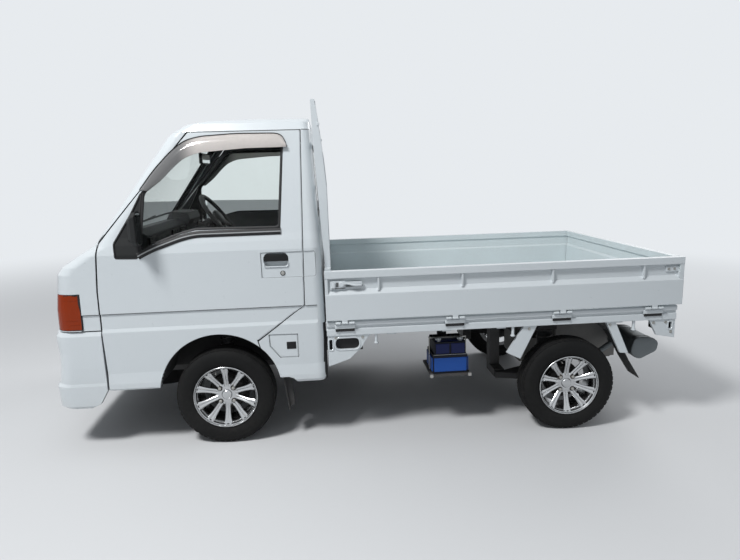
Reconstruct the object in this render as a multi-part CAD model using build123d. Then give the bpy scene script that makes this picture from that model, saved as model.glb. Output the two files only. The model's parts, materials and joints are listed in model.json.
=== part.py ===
"""Small cab-over flatbed truck with drop gates, a rear engine and independent wheels, in millimetres.

The truck is drawn level: X forward from the front axle, Y to its left, Z up from the ground
below the front wheels. At the end the whole truck is set on its wheels, nose a little down,
with its origin on the ground below the middle of its outline.
"""
import os
from math import cos, hypot, pi, radians, sin

from build123d import *

# Driving dimensions, in millimetres and degrees
WHEELBASE = 1885.0
RAKE = 1.34
TYRE_R = 262.0
FRONT_TRACK = 1285.0
REAR_TRACK = 1290.0
CAB_HALF = 722.0
PANEL = 40.0
GATE_OUT = 737.5
GATE_IN = 697.0
GATE_LOW = 661.0
GATE_TOP = 921.0
BED_FRONT = -553.0
BED_REAR = -2489.0
BED_FLOOR = 652.0
GUARD_TOP = 1783.0
SEAM = 7.0

REAR_AXLE_X = -WHEELBASE
REAR_AXLE_Z = TYRE_R - WHEELBASE * sin(radians(RAKE))

nodes = {}


# Helpers that draw an outline in one plane and give it depth along the third axis
def side_prism(points, y_low, y_high):
    """Solid of an X-Z outline between two Y planes."""
    plane = Plane(origin=(0, y_high, 0), x_dir=(1, 0, 0), z_dir=(0, -1, 0))
    return extrude(plane * make_face(Polyline(*points, close=True)), amount=y_high - y_low)


def cross_prism(points, x_low, x_high):
    """Solid of a Y-Z outline between two X planes."""
    plane = Plane(origin=(x_low, 0, 0), x_dir=(0, 1, 0), z_dir=(1, 0, 0))
    return extrude(plane * make_face(Polyline(*points, close=True)), amount=x_high - x_low)


def plan_prism(points, z_low, z_high):
    """Solid of an X-Y outline between two heights."""
    outline = make_face(Polyline(*points, close=True))
    return extrude(Plane.XY.offset(z_low) * outline, amount=z_high - z_low)


def block(x_a, x_b, y_a, y_b, z_a, z_b):
    """Plain block between two corners."""
    middle = ((x_a + x_b) / 2, (y_a + y_b) / 2, (z_a + z_b) / 2)
    return Pos(*middle) * Box(abs(x_b - x_a), abs(y_b - y_a), abs(z_b - z_a))


def cylinder_y(x, z, radius, y_low, y_high):
    """Round bar along Y."""
    bar = Cylinder(radius, y_high - y_low, rotation=(90, 0, 0))
    return Pos(x, (y_low + y_high) / 2, z) * bar


def bar_between(start, end, radius):
    """Round bar between two points."""
    a = Vector(*start)
    b = Vector(*end)
    plane = Plane(origin=a, z_dir=(b - a).normalized())
    return extrude(plane * Circle(radius), amount=(b - a).length)


def turned(section, sides):
    """Piece about the Y axis with flats all round, one of them level, from radius and Y pairs."""
    rings = []
    for radius, y in section:
        corner = radius / cos(pi / sides)
        turns = [2 * pi * (i + 0.5) / sides for i in range(sides)]
        rings.append([(corner * cos(turn), y, corner * sin(turn)) for turn in turns])
    faces = [flat_face(rings[0]), flat_face(rings[-1])]
    for ring, following in zip(rings, rings[1:]):
        for i in range(sides):
            faces.append(flat_face([ring[i - 1], ring[i], following[i], following[i - 1]]))
    return Solid(Shell(faces))


def flat_face(points):
    """Flat face with straight edges."""
    return Face(Wire.make_polygon([Vector(*point) for point in points], close=True))


def flip(shape):
    """The same piece on the right-hand side."""
    return mirror(shape, about=Plane.XZ)


def both_sides(shape):
    """A left piece and its mirror image, as two separate solids."""
    return Compound([*solids_of(shape), *solids_of(flip(shape))])


def solids_of(shape):
    """Loose copies of the solids in a shape."""
    return [Solid(s.wrapped) for s in shape.solids()]


def slot_prism(x, z, length, height, y_low, y_high):
    """Round-ended or round-cornered hole cutter through a side plate."""
    radius = min(length, height) * 0.45
    plane = Plane(origin=(x, y_high, z), x_dir=(1, 0, 0), z_dir=(0, -1, 0))
    return extrude(plane * RectangleRounded(length, height, radius), amount=y_high - y_low)


# Cab shell: plan outlines stacked by height, with the roof panel's seam at ROOF_SPLIT
ROOF_SPLIT = 1644.0
# height, front corner X, bow of the front face, half width, rear X, front corner radius
CAB_PLAN = (
    (646, 834, 22, CAB_HALF, -546, 100),
    (768, 831, 22, CAB_HALF, -545, 100),
    (952, 807, 22, CAB_HALF, -542, 100),
    (990, 779, 26, CAB_HALF, -540, 100),
    (1047, 688, 36, CAB_HALF, -538, 100),
    (1092, 612, 46, 714, -536, 100),
    (1130, 580, 48, 704, -534, 84),
    (1620, 216, 36, 607, -515, 60),
    (ROOF_SPLIT, 190, 35, 602, -514, 60),
    (1684, 120, 28, 582, -511, 60),
    (1698, 48, 20, 556, -507, 60),
    (1710, -130, 10, 490, -500, 60),
)
# The side walls below the waistband, down to the sills
SILL_PLAN = (
    (330, 800, 0, 710, -547, 60),
    (346, 800, 0, 723, -547, 60),
    (372, 800, 0, 723, -547, 60),
    (428, 800, 0, 715, -547, 60),
    (560, 800, 0, 719, -547, 60),
    (646, 800, 0, CAB_HALF, -546, 60),
)
REAR_CORNER_R = 50.0
SHELL_END = 20.0


def plan_face(row, inset):
    """Closed plan outline at one height, drawn in by the inset all round."""
    height, front, bow, half, rear, corner = row
    front = front - inset
    half = half - inset
    rear = rear + inset
    corner = max(corner - inset, 12.0)
    back = max(REAR_CORNER_R - inset, 10.0)
    c = cos(pi / 4)

    def at(x, y):
        return Vector(x, y, height)

    edges = [
        Edge.make_line(at(rear + back, half), at(front - corner, half)),
        Edge.make_three_point_arc(
            at(front - corner, half),
            at(front - corner * (1 - c), half - corner * (1 - c)),
            at(front, half - corner),
        ),
        Edge.make_three_point_arc(
            at(front, half - corner), at(front + bow + 0.01, 0), at(front, corner - half)
        ),
        Edge.make_three_point_arc(
            at(front, corner - half),
            at(front - corner * (1 - c), corner * (1 - c) - half),
            at(front - corner, -half),
        ),
        Edge.make_line(at(front - corner, -half), at(rear + back, -half)),
        Edge.make_three_point_arc(
            at(rear + back, -half), at(rear + back * (1 - c), back * (1 - c) - half), at(rear, back - half)
        ),
        Edge.make_line(at(rear, back - half), at(rear, half - back)),
        Edge.make_three_point_arc(
            at(rear, half - back), at(rear + back * (1 - c), half - back * (1 - c)), at(rear + back, half)
        ),
    ]
    return Face(Wire(edges))


def stacked(table, inset, low_by=0.0, high_by=0.0):
    """Solid through the plan outlines of a table, its ends moved down or up to cut cleanly."""
    rows = [list(row) for row in table]
    rows[0][0] -= low_by
    rows[-1][0] += high_by
    return loft([plan_face(row, inset) for row in rows], ruled=True)


def upper_cab(inset, low_by=0.0):
    """Cab above the waistband, drawn in by the inset, the roof lowered by as much at its crown."""
    crown = CAB_PLAN[-1][0] - ROOF_SPLIT
    rows = []
    for height, *plan in CAB_PLAN:
        share = max(0.0, height - ROOF_SPLIT) / crown
        rows.append([height - inset * share, *plan])
    return stacked(rows, inset, low_by=low_by)


upper_shell = upper_cab(0) - upper_cab(PANEL, low_by=SHELL_END)
sill_shell = stacked(SILL_PLAN, 0) - stacked(SILL_PLAN, PANEL, low_by=SHELL_END, high_by=SHELL_END)
cab_shell = upper_shell + sill_shell

# Waistband: a shallow recess along both sides, sharp above and sloped below
BAND_LOW = 650.0
BAND_TOP = 748.0
BAND_DEPTH = 7.0
band = cross_prism(
    [
        (CAB_HALF + 2, BAND_LOW),
        (CAB_HALF, BAND_LOW),
        (CAB_HALF - BAND_DEPTH, BAND_LOW + 18),
        (CAB_HALF - BAND_DEPTH, BAND_TOP),
        (CAB_HALF + 2, BAND_TOP),
    ],
    -509,
    690,
)
cab_shell = cab_shell - band - flip(band)


# Door, in side view
PILLAR_SLOPE = 0.8815
WAIST_Z = 1103.0
DOOR_TOP = 1638.0
ARCH_X = 14.0
ARCH_Z = 296.0
ARCH_R = 318.0


def pillar_x(height, inset):
    """X of the windscreen edge line at a height, moved back by the inset."""
    return 609 - (height - 1090) * PILLAR_SLOPE - inset


def door_outline(gap):
    """Door edge in side view, opened out by the gap."""
    return [
        (586 + gap, 337 - gap),
        (590 + gap, 640),
        (586 + gap, 864),
        (577 + gap, 978),
        (566 + gap, WAIST_Z),
        (pillar_x(DOOR_TOP, 24) + gap, DOOR_TOP + gap),
        (-458 - gap, DOOR_TOP + gap),
        (-447 - gap, WAIST_Z),
        (-440 - gap, 752 - gap / 2),
        (-188 - gap, 571 - gap),
        (-250 - gap, 337 - gap),
    ]


WINDOW = [
    (-342, 1153), (-375, 1598), (95, 1598), (345, 1350), (374, 1027), (296, 1093), (157, 1139), (84, 1155),
]
SAIL = [(345, 1350), (400, 1245), (488, 1104), (484, 1031), (374, 1027)]
HANDLE_X = -311.0
HANDLE_Z = 992.0
EMBOSS = (-234.0, -512.0, 900.0, 1032.0)
EMBOSS_DEPTH = 4.0

# What lies further in than this belongs to the front wall and the roof's header
DOOR_INNER = [(440, 300), (640, 300), (640, WAIST_Z), (556, 1665), (440, 1665)]

arch_cutter = cylinder_y(ARCH_X, ARCH_Z, ARCH_R, 300, 800)
side_zone = side_prism(door_outline(0), 440, 800)
opening_zone = side_prism(door_outline(SEAM), 440, 800)
window_cutter = side_prism(WINDOW, 440, 800)
sail_cutter = side_prism(SAIL, 440, 800)
emboss_cutter = block(EMBOSS[1], EMBOSS[0], CAB_HALF - EMBOSS_DEPTH, CAB_HALF + 5, EMBOSS[2], EMBOSS[3])
grip_cutter = slot_prism(HANDLE_X, HANDLE_Z, 128, 76, CAB_HALF - 30, CAB_HALF + 5)

door = cab_shell & side_zone
door = door - arch_cutter - window_cutter - sail_cutter - grip_cutter - emboss_cutter
door = door - cross_prism(DOOR_INNER, -600, 700)
grip_bar = block(HANDLE_X - 63, HANDLE_X + 63, CAB_HALF - 26, CAB_HALF - 8, HANDLE_Z - 4, HANDLE_Z + 14)
grip_bar = grip_bar & slot_prism(HANDLE_X, HANDLE_Z, 128, 76, CAB_HALF - 30, CAB_HALF + 5)
door = door + grip_bar
nodes["door_left"] = door
nodes["door_right"] = flip(door)

# Door glass, a curved sheet in the middle of the door frame
GLASS_DEPTH = 14.0
GLASS = 5.0
glass_layer = upper_cab(GLASS_DEPTH) - upper_cab(GLASS_DEPTH + GLASS, low_by=SHELL_END)
door_glass = glass_layer & window_cutter
nodes["door_glass_left"] = door_glass
nodes["door_glass_right"] = flip(door_glass)

# Rain visor over the door window: a thin skin stood off the door, closed along its top
VISOR_OFF = 24.0
VISOR_SKIN = 4.0
VISOR_TOP = [
    (353, 1367), (272, 1460), (185, 1550), (118, 1600), (45, 1618), (-138, 1628), (-353, 1624), (-388, 1560),
]
VISOR_LIP = [(-393, 1552), (-178, 1552), (58, 1539), (130, 1518), (181, 1480), (249, 1412), (317, 1359)]
VISOR_SEAT = [
    (-380, 1558), (-346, 1612), (-138, 1616), (43, 1606), (112, 1589), (178, 1541), (264, 1452), (340, 1367),
]
visor_zone = side_prism(VISOR_TOP + VISOR_LIP, 440, 800)
visor_edge = side_prism(VISOR_TOP + VISOR_SEAT, 440, 800)
visor_skin = (upper_cab(-VISOR_OFF) - upper_cab(-VISOR_OFF + VISOR_SKIN, low_by=SHELL_END)) & visor_zone
visor_rim = (upper_cab(-VISOR_OFF) - upper_cab(0, low_by=SHELL_END)) & visor_edge
visor = visor_skin + visor_rim
nodes["door_visor_left"] = visor
nodes["door_visor_right"] = flip(visor)

# Door mirror: a sail panel in the front corner of the window, an arm and a housing
MIRROR_OUT = 790.0
MIRROR_CORNER = 0.24
# X, middle Y, middle Z, width, height
MIRROR_CASE = (
    (334, MIRROR_OUT, 1182, 92, 168),
    (357, MIRROR_OUT, 1180, 84, 150),
    (376, MIRROR_OUT - 2, 1178, 54, 104),
)


def mirror_outline(row):
    """Cross-section of the mirror case: a rectangle with its corners cut off."""
    x, y, z, width, height = row
    corner = width * MIRROR_CORNER
    half_y = width / 2
    half_z = height / 2
    points = [
        (y - half_y + corner, z - half_z), (y + half_y - corner, z - half_z),
        (y + half_y, z - half_z + corner), (y + half_y, z + half_z - corner),
        (y + half_y - corner, z + half_z), (y - half_y + corner, z + half_z),
        (y - half_y, z + half_z - corner), (y - half_y, z - half_z + corner),
    ]
    plane = Plane(origin=(x, 0, 0), x_dir=(0, 1, 0), z_dir=(1, 0, 0))
    return plane * make_face(Polyline(*points, close=True))


sail_panel = (upper_cab(4) - upper_cab(24, low_by=SHELL_END)) & sail_cutter
mirror_arm = block(352, 390, 680, MIRROR_OUT - 14, 1116, 1140)
mirror_case = loft([mirror_outline(row) for row in MIRROR_CASE], ruled=True)
mirror_unit = sail_panel + (mirror_arm - upper_cab(4)) + mirror_case
nodes["mirror_left"] = mirror_unit
nodes["mirror_right"] = flip(mirror_unit)

# Fixed panels of the cab
CORNER_Y = 540.0
FRONT_WALL_X = 800.0
FRONT_WALL = 40.0
FRONT_LOW = 664.0
CAB_FLOOR_Z = 400.0
LEDGE = 14.0

rear_half = block(-700, 200, -800, 800, 300, ROOF_SPLIT)
REAR_WINDOW_HALF = [(0, 1180), (440, 1180), (470, 1190), (450, 1560), (430, 1575), (0, 1575)]


def symmetric(half):
    """Closed outline from its right half, listed up the middle line's one end to the other."""
    return half + [(-y, z) for y, z in reversed(half) if y != 0]


rear_window_cutter = cross_prism(symmetric(REAR_WINDOW_HALF), -700, -400)
back_wall = cab_shell & block(-700, -400, -CORNER_Y, CORNER_Y, 600, ROOF_SPLIT)
nodes["cab_back_panel"] = back_wall - rear_window_cutter

FUEL_LID = [(-254, 594), (-396, 592), (-396, 474), (-306, 474), (-258, 536)]
FUEL_HOLE = [(-249, 599), (-401, 597), (-401, 469), (-303, 469), (-252, 534)]
FUEL_FACE = 717.0
FUEL_SKIN = 5.0
FUEL_DEPTH = 24.0
SILL_NOTCH = [(-200, 200), (-200, 362), (-343, 362), (-370, 352), (-386, 330), (-386, 200)]
quarter = cab_shell & rear_half & block(-700, -150, CORNER_Y, 800, 300, ROOF_SPLIT)
quarter = quarter - opening_zone - arch_cutter - emboss_cutter
quarter = quarter - side_prism(SILL_NOTCH, 440, 800)
quarter = quarter - side_prism(FUEL_HOLE, FUEL_FACE - FUEL_DEPTH, 800)
quarter = quarter + block(-266, -254, FUEL_FACE - FUEL_DEPTH - 1, FUEL_FACE - 11, 541, 579)
nodes["rear_quarters"] = both_sides(quarter)
fuel_knuckle = block(-264, -256, FUEL_FACE - 9, FUEL_FACE - FUEL_SKIN, 545, 575)
nodes["fuel_door"] = side_prism(FUEL_LID, FUEL_FACE - FUEL_SKIN, FUEL_FACE) + fuel_knuckle

nodes["roof_panel"] = upper_shell & block(-700, 900, -800, 800, ROOF_SPLIT, 1800)

# Front: one pressing with the windscreen frame and the pillars, on a plain front wall
WINDSCREEN_HALF = [(0, 1106), (600, 1106), (618, 1116), (545, 1622), (525, 1634), (0, 1634)]
CORNER_LAMP_HOLE = [(900, 857), (900, 668), (682, 668), (678, 857)]
CORNER_LAMP = [(899, 855), (899, 670), (685, 670), (681, 855)]
HEADLAMP_HOLE = [(330, 674), (330, 852), (604, 852), (604, 674)]
HEADLAMP = [(333, 677), (333, 849), (601, 849), (601, 677)]
LAMP_DEPTH = 30.0
BEHIND_SEAM = [
    (594, 640), (593, 870), (584, 984), (573, 1109), (pillar_x(ROOF_SPLIT, 17), ROOF_SPLIT),
    (-200, ROOF_SPLIT), (-200, 640),
]
front_zone = block(-100, 1000, -800, 800, FRONT_LOW, ROOF_SPLIT)
front = upper_shell & front_zone
front_ledge = block(FRONT_WALL_X - FRONT_WALL, 1000, -800, 800, FRONT_LOW, FRONT_LOW + LEDGE)
front = front + (upper_cab(0) & front_ledge)
windscreen_cutter = cross_prism(symmetric(WINDSCREEN_HALF), 0, 760)
front = front - windscreen_cutter
lamp_layer = upper_cab(0) - upper_cab(LAMP_DEPTH, low_by=SHELL_END)
for cutter in (
    opening_zone,
    side_prism(BEHIND_SEAM, 440, 800),
    band,
    lamp_layer & side_prism(CORNER_LAMP_HOLE, 606, 800),
    lamp_layer & cross_prism(HEADLAMP_HOLE, 700, 1000),
):
    front = front - cutter - flip(cutter)
front_wall = block(
    FRONT_WALL_X - FRONT_WALL, FRONT_WALL_X, -640, 640, CAB_FLOOR_Z - 20, FRONT_LOW + LEDGE / 2
)
front = front + front_wall
nodes["front_panel"] = front
nodes["corner_lamps"] = both_sides(lamp_layer & side_prism(CORNER_LAMP, 608, 800))
nodes["headlights"] = both_sides(lamp_layer & cross_prism(HEADLAMP, 700, 1000))

# Windscreen and rear window
screen_layer = upper_cab(6) - upper_cab(13, low_by=SHELL_END)
windscreen = screen_layer & windscreen_cutter
rear_glass = screen_layer & rear_window_cutter
nodes["cab_windows"] = Compound([*solids_of(windscreen), *solids_of(rear_glass)])

# Front bumper, wrapped round to the doors
# height, front corner X, bow, half width, rear X, corner radius
BUMPER_PLAN = (
    (245, 860, 20, 712, 300, 100),
    (258, 876, 20, 720, 300, 100),
    (366, 880, 20, CAB_HALF, 300, 100),
    (382, 866, 20, CAB_HALF - 3, 300, 100),
    (465, 852, 20, CAB_HALF, 300, 100),
    (542, 849, 20, CAB_HALF, 300, 100),
    (612, 856, 20, CAB_HALF, 300, 100),
    (636, 854, 20, CAB_HALF, 300, 100),
    (657, 842, 20, 713, 300, 92),
)
BUMPER_SKIN = 26.0
BUMPER_BACK = 597.0
bumper_outer = stacked(BUMPER_PLAN, 0)
bumper = bumper_outer - stacked(BUMPER_PLAN, BUMPER_SKIN, low_by=SHELL_END, high_by=SHELL_END)
bumper = bumper & block(BUMPER_BACK, 1000, -800, 800, 200, 700)
bumper_shelf = bumper_outer & block(FRONT_WALL_X, 1000, -640, 640, 643, 656)
bumper = bumper + bumper_shelf
bumper = bumper - side_prism([(590, 352), (640, 268), (690, 244), (690, 200), (590, 200)], -800, 800)
GRILLE_SLOTS = 4
GRILLE_LOW = 274.0
GRILLE_PITCH = 21.0
GRILLE_GAP = 12.0
GRILLE_HALF = 270.0
for i in range(GRILLE_SLOTS):
    z = GRILLE_LOW + GRILLE_PITCH * i
    bumper = bumper - block(886, 960, -GRILLE_HALF, GRILLE_HALF, z, z + GRILLE_GAP)
nodes["front_bumper"] = bumper

# Cab floor: footwell, seat riser and platform, with a round wheelhouse on each side
FLOOR_SKIN = 12.0
RISER_X = 340.0
PLATFORM_Z = 618.0
HOUSE_IN = 396.0
HOUSE_OUT = 672.0
HOUSE_SKIN = 8.0
FLOOR_FRONT = FRONT_WALL_X - FRONT_WALL
floor_profile = [
    (FLOOR_FRONT, CAB_FLOOR_Z),
    (FLOOR_FRONT, CAB_FLOOR_Z + FLOOR_SKIN),
    (RISER_X + FLOOR_SKIN, CAB_FLOOR_Z + FLOOR_SKIN),
    (RISER_X + FLOOR_SKIN, PLATFORM_Z + FLOOR_SKIN),
    (-505, PLATFORM_Z + FLOOR_SKIN),
    (-505, PLATFORM_Z),
    (RISER_X - 4, PLATFORM_Z),
    (RISER_X - 4, CAB_FLOOR_Z),
]
floor_pan = side_prism(floor_profile, -640, 640)
floor_wing = block(-505, 400, 640, HOUSE_OUT, PLATFORM_Z, PLATFORM_Z + FLOOR_SKIN)
rear_wing = block(-494, -215, HOUSE_OUT, CAB_HALF - PANEL - 3, PLATFORM_Z, PLATFORM_Z + FLOOR_SKIN)
house_ring = cylinder_y(ARCH_X, ARCH_Z, ARCH_R + HOUSE_SKIN, HOUSE_IN, HOUSE_OUT)
house_ring = house_ring - cylinder_y(ARCH_X, ARCH_Z, ARCH_R, HOUSE_IN + HOUSE_SKIN, HOUSE_OUT + 1)
house_ring = house_ring - block(-400, 400, 0, 800, -100, ARCH_Z + 60)
cab_floor = floor_pan
for wing in (floor_wing, rear_wing, house_ring):
    cab_floor = cab_floor + wing + flip(wing)
nodes["cab_floor"] = cab_floor

# Dashboard and steering column on the right-hand side
STEER_Y = -330.0
STEER_HUB = (154.0, STEER_Y, 1145.0)
COLUMN_TILT = 36.0
COLUMN_DIR = (cos(radians(COLUMN_TILT)), 0.0, -sin(radians(COLUMN_TILT)))


def along_column(distance):
    """Point on the steering axis, forward and down from the wheel's hub."""
    return tuple(p + distance * d for p, d in zip(STEER_HUB, COLUMN_DIR))


column = bar_between(along_column(40), along_column(330), 32)
column = column + bar_between(along_column(330), along_column(700), 22)
DASH_PROFILE = [
    (560, 1096), (500, 1150), (400, 1160), (350, 1130), (352, 1020), (420, 930), (600, 880), (640, 900),
    (650, 1030),
]
DASH_HALF = 612.0
BINNACLE = [(470, 1150), (440, 1205), (330, 1196), (318, 1150), (340, 1110), (420, 1110)]
dash = side_prism(DASH_PROFILE, -DASH_HALF, DASH_HALF) + side_prism(BINNACLE, -480, -180)
dash = (dash & upper_cab(PANEL + 4)) - column
nodes["dashboard"] = dash
nodes["steering_column"] = column

# Steering wheel: rim, boss and three spokes in the tilted plane
STEER_R = 182.0
steer_plane = Plane(origin=STEER_HUB, x_dir=(0, 1, 0), z_dir=tuple(-d for d in COLUMN_DIR))
STEER_SIDES = 36
GRIP_OUTER = ((STEER_R + 5, -13), (STEER_R + 13, -5), (STEER_R + 13, 5), (STEER_R + 5, 13))
GRIP_INNER = ((STEER_R - 5, -13.1), (STEER_R - 13, -5), (STEER_R - 13, 5), (STEER_R - 5, 13.1))
steer_rim = Rot(90, 0, 0) * (turned(GRIP_OUTER, STEER_SIDES) - turned(GRIP_INNER, STEER_SIDES))
steer_boss = Pos(0, 0, -18) * Cylinder(46, 30)
steering_wheel = steer_rim + steer_boss
for angle in (20, 160, 90):
    spoke = Pos(STEER_R / 2, 0, -8) * Box(STEER_R, 26, 12)
    steering_wheel = steering_wheel + Rot(0, 0, angle) * spoke
steering_wheel = steering_wheel + Pos(0, 0, -34) * Cylinder(16, 12)
nodes["steering_wheel"] = steer_plane.location * steering_wheel

# Seats: cushion and upright back in one piece each, on the platform
SEAT_Y = 340.0
SEAT_HALF = 235.0
SEAT_FOOT = PLATFORM_Z + FLOOR_SKIN
SEAT_PROFILE = [
    (330, SEAT_FOOT), (338, 740), (300, 792), (-250, 770), (-330, 1120), (-400, 1140), (-440, 1110),
    (-400, 760), (-400, SEAT_FOOT),
]
seat = side_prism(SEAT_PROFILE, SEAT_Y - SEAT_HALF, SEAT_Y + SEAT_HALF)
nodes["seats"] = both_sides(seat)

# Gear lever, handbrake and pedals
above_platform = block(-500, 700, -300, 300, PLATFORM_Z + FLOOR_SKIN, 1000)
gear_lever = bar_between((295, 0, PLATFORM_Z), (360, 0, 900), 8) & above_platform
knob = Pos(360, 0, 912) * Rot(90, 0, 0) * turned(((10, -20), (21, -8), (21, 8), (12, 20)), 12)
gear_lever = gear_lever + knob
handbrake = bar_between((60, -40, PLATFORM_Z + FLOOR_SKIN), (60, -40, 690), 12)
handbrake = handbrake + bar_between((60, -40, 690), (230, -40, 760), 12)
control_parts = [*solids_of(gear_lever), *solids_of(handbrake)]
for pedal_y in (-250, -330, -410):
    arm = bar_between((FLOOR_FRONT + 20, pedal_y, 640), (640, pedal_y, 500), 8)
    arm = arm & block(600, FLOOR_FRONT, -500, 0, 400, 640)
    pad = Pos(640, pedal_y, 500) * Rot(0, 50, 0) * Box(56, 46, 14)
    control_parts = control_parts + solids_of(arm + pad)
nodes["cab_controls"] = Compound(control_parts)

# Ladder frame: two rails with a rise behind the cab, crossmembers and suspension brackets
RAIL_IN = 310.0
RAIL_OUT = 370.0
RAIL_PROFILE = [
    (FLOOR_FRONT, 398), (-400, 398), (-660, 560), (-2440, 560),
    (-2440, 478), (-690, 478), (-430, 314), (FLOOR_FRONT, 314),
]
frame = side_prism(RAIL_PROFILE, RAIL_IN, RAIL_OUT)
frame = frame + flip(frame)
# X middle, low Z, high Z, length along X
CROSSMEMBERS = (
    (720, 330, 390, 60),
    (250, 320, 380, 60),
    (-380, 320, 380, 60),
    (-760, 490, 550, 60),
    (-1240, 490, 550, 60),
    (-1620, 490, 550, 60),
    (-2410, 490, 550, 60),
)
for x, low, high, length in CROSSMEMBERS:
    frame = frame + block(x - length / 2, x + length / 2, -RAIL_IN - 1, RAIL_IN + 1, low, high)
drop = block(-70, 45, RAIL_IN, RAIL_OUT, 126, 320)
frame = frame + drop + flip(drop) + block(-40, 40, -RAIL_IN - 1, RAIL_IN + 1, 128, 176)
arm_bracket = block(-1590, -1530, RAIL_IN, 470, 200, 245) + block(-1590, -1530, RAIL_IN, RAIL_OUT, 200, 480)
spring_perch = block(-1900, -1790, RAIL_OUT - 1, 480, 478, 500)
battery_shelf = block(-1346, -1120, RAIL_OUT - 1, 632, 282, 294)
battery_shelf = battery_shelf + block(-1260, -1206, RAIL_OUT - 1, 384, 290, 480)
tank_strap = block(-1000, -960, RAIL_OUT - 1, 376, 440, 480)
frame = frame + arm_bracket + flip(arm_bracket) + spring_perch + flip(spring_perch) + battery_shelf
frame = frame + flip(tank_strap) + flip(block(-700, -672, RAIL_OUT - 1, 376, 470, 500))
# Towing eye below the front crossmember
TOW_X = 778.0
TOW_Z = 222.0
TOW_BORE_R = 16.0
tow_plate = side_prism([(700, 331), (700, 290), (752, 196), (804, 196), (804, 248), (748, 331)], 203, 217)
frame = frame + tow_plate - cylinder_y(TOW_X, TOW_Z, TOW_BORE_R, 200, 220)
nodes["ladder_frame"] = frame

# Suspension: struts and lower arms in front, trailing arms, springs and drive shafts behind
KING_Y = 575.0
KING_TILT = 12.0


def kingpin(z):
    """Point on the left steering axis at a height."""
    return (0.0, KING_Y - (z - TYRE_R) * sin(radians(KING_TILT)) / cos(radians(KING_TILT)), z)


strut = bar_between(kingpin(480), kingpin(606), 32) + bar_between(kingpin(452), kingpin(480), 11)
strut = strut - block(-200, 200, 300, 700, ARCH_Z + 300, 700)
LOWER_ARM = [
    (-16, 612), (16, 612), (18, 440), (70, 390), (45, RAIL_OUT), (-70, RAIL_OUT), (-75, 390), (-18, 440),
]
TRAILING_ARM = [
    (-1530, 470), (-1530, 500), (-1810, 582), (-1935, 582), (-1935, 540), (-1850, 380), (-1780, 380),
    (-1590, 470),
]
lower_arm = plan_prism(LOWER_ARM, 132, 156)
trailing_arm = plan_prism(TRAILING_ARM, 204, 240)
rear_coil = Pos(-1845, 428, 359) * Cylinder(40, 238)
trailing_arm = trailing_arm + block(REAR_AXLE_X - 34, REAR_AXLE_X + 34, 548, 582, 190, 262)
drive_shaft = cylinder_y(REAR_AXLE_X, REAR_AXLE_Z, 15, 160, 548)
stub = cylinder_y(REAR_AXLE_X, REAR_AXLE_Z, 12, 582, 668)
brake_plate = cylinder_y(REAR_AXLE_X, REAR_AXLE_Z, 104, 582, 590)
rear_unit = trailing_arm + rear_coil + drive_shaft + stub + brake_plate
nodes["suspension"] = Compound(
    [
        *solids_of(both_sides(strut)),
        *solids_of(both_sides(lower_arm)),
        *solids_of(both_sides(rear_unit)),
    ]
)

# Steering knuckles, each with its strut tube, stub axle, brake plate and steering arm
RACK_X = 80.0
RACK_Z = 196.0
knuckle = bar_between(kingpin(162), kingpin(330), 20) + bar_between(kingpin(330), kingpin(446), 23)
knuckle = knuckle + cylinder_y(0, TYRE_R, 34, 560, 592) + cylinder_y(0, TYRE_R, 104, 592, 600)
knuckle = knuckle + cylinder_y(0, TYRE_R, 12, 592, 666)
ARM_LOW = 224.0
ARM_HIGH = 238.0
arm_y = kingpin(ARM_LOW)[1]
ARM_OUTLINE = [(0, arm_y - 14), (0, arm_y + 14), (105, arm_y - 26), (105, arm_y - 46), (80, arm_y - 50)]
knuckle = knuckle + plan_prism(ARM_OUTLINE, ARM_LOW, ARM_HIGH)
nodes["knuckle_left"] = knuckle
nodes["knuckle_right"] = flip(knuckle)

# Steering rack: housing bracket on the frame's front cross tube, and the sliding bar with its ends
rack_housing = cylinder_y(RACK_X, RACK_Z, 22, -190, 190) - cylinder_y(RACK_X, RACK_Z, 11, -200, 200)
rack_mount = block(40, RACK_X, -150, -110, 150, 176) - cylinder_y(RACK_X, RACK_Z, 21, -200, 200)
nodes["rack_housing"] = rack_housing + rack_mount + flip(rack_mount)
TIE_Y = 545.0
rack_bar = cylinder_y(RACK_X, RACK_Z, 8, -TIE_Y, TIE_Y)
for side in (-1, 1):
    rack_bar = rack_bar + Pos(RACK_X, side * TIE_Y, RACK_Z) * Cylinder(13, 19)
nodes["steering_rack"] = rack_bar

# Wheels: ten-spoke rims and tyres, one shape for all four, turned with flats all round
SPOKES = 10
TYRE_SIDES = 40
BOSS_SIDES = 20
HUB_BORE = 14.0
# radius, offset from the wheel's middle plane towards the outside
TREAD_TO_WALL = ((262, 38), (257, 55), (246, 66), (214, 72.5))
BEAD_SEAT = ((153, -61), (153, 61))
BEAD_FLARE = ((170, 59), (173, 67), (214, 73))
BARREL_OUTER = ((168, -66), (168, -61), (152, -60), (152, 60), (168, 61), (168, 66))
BARREL_INNER = ((142, -67), (142, -56), (146, 54), (151, 67))
# The side view of a spoke: radius and offset, from the hub along its face and back
SPOKE_SIDE = ((24, 22), (62, 25), (112, 44), (147, 54), (147, 36), (110, 27), (62, 6), (24, 4))
SPOKE_PLAN = ((24, -12), (24, 12), (60, 12), (100, 8), (150, 11), (150, -11), (100, -8), (60, -12))
BOSS_OUTER = ((44, -22), (44, 4), (62, 10), (62, 22), (40, 29))

wall_in = tuple((radius, -y) for radius, y in reversed(TREAD_TO_WALL))
tyre_unit = turned(wall_in + TREAD_TO_WALL, TYRE_SIDES) - turned(BEAD_SEAT, TYRE_SIDES)
bead_flare = turned(BEAD_FLARE, TYRE_SIDES)
tyre_unit = tyre_unit - bead_flare - flip(bead_flare)

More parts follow.
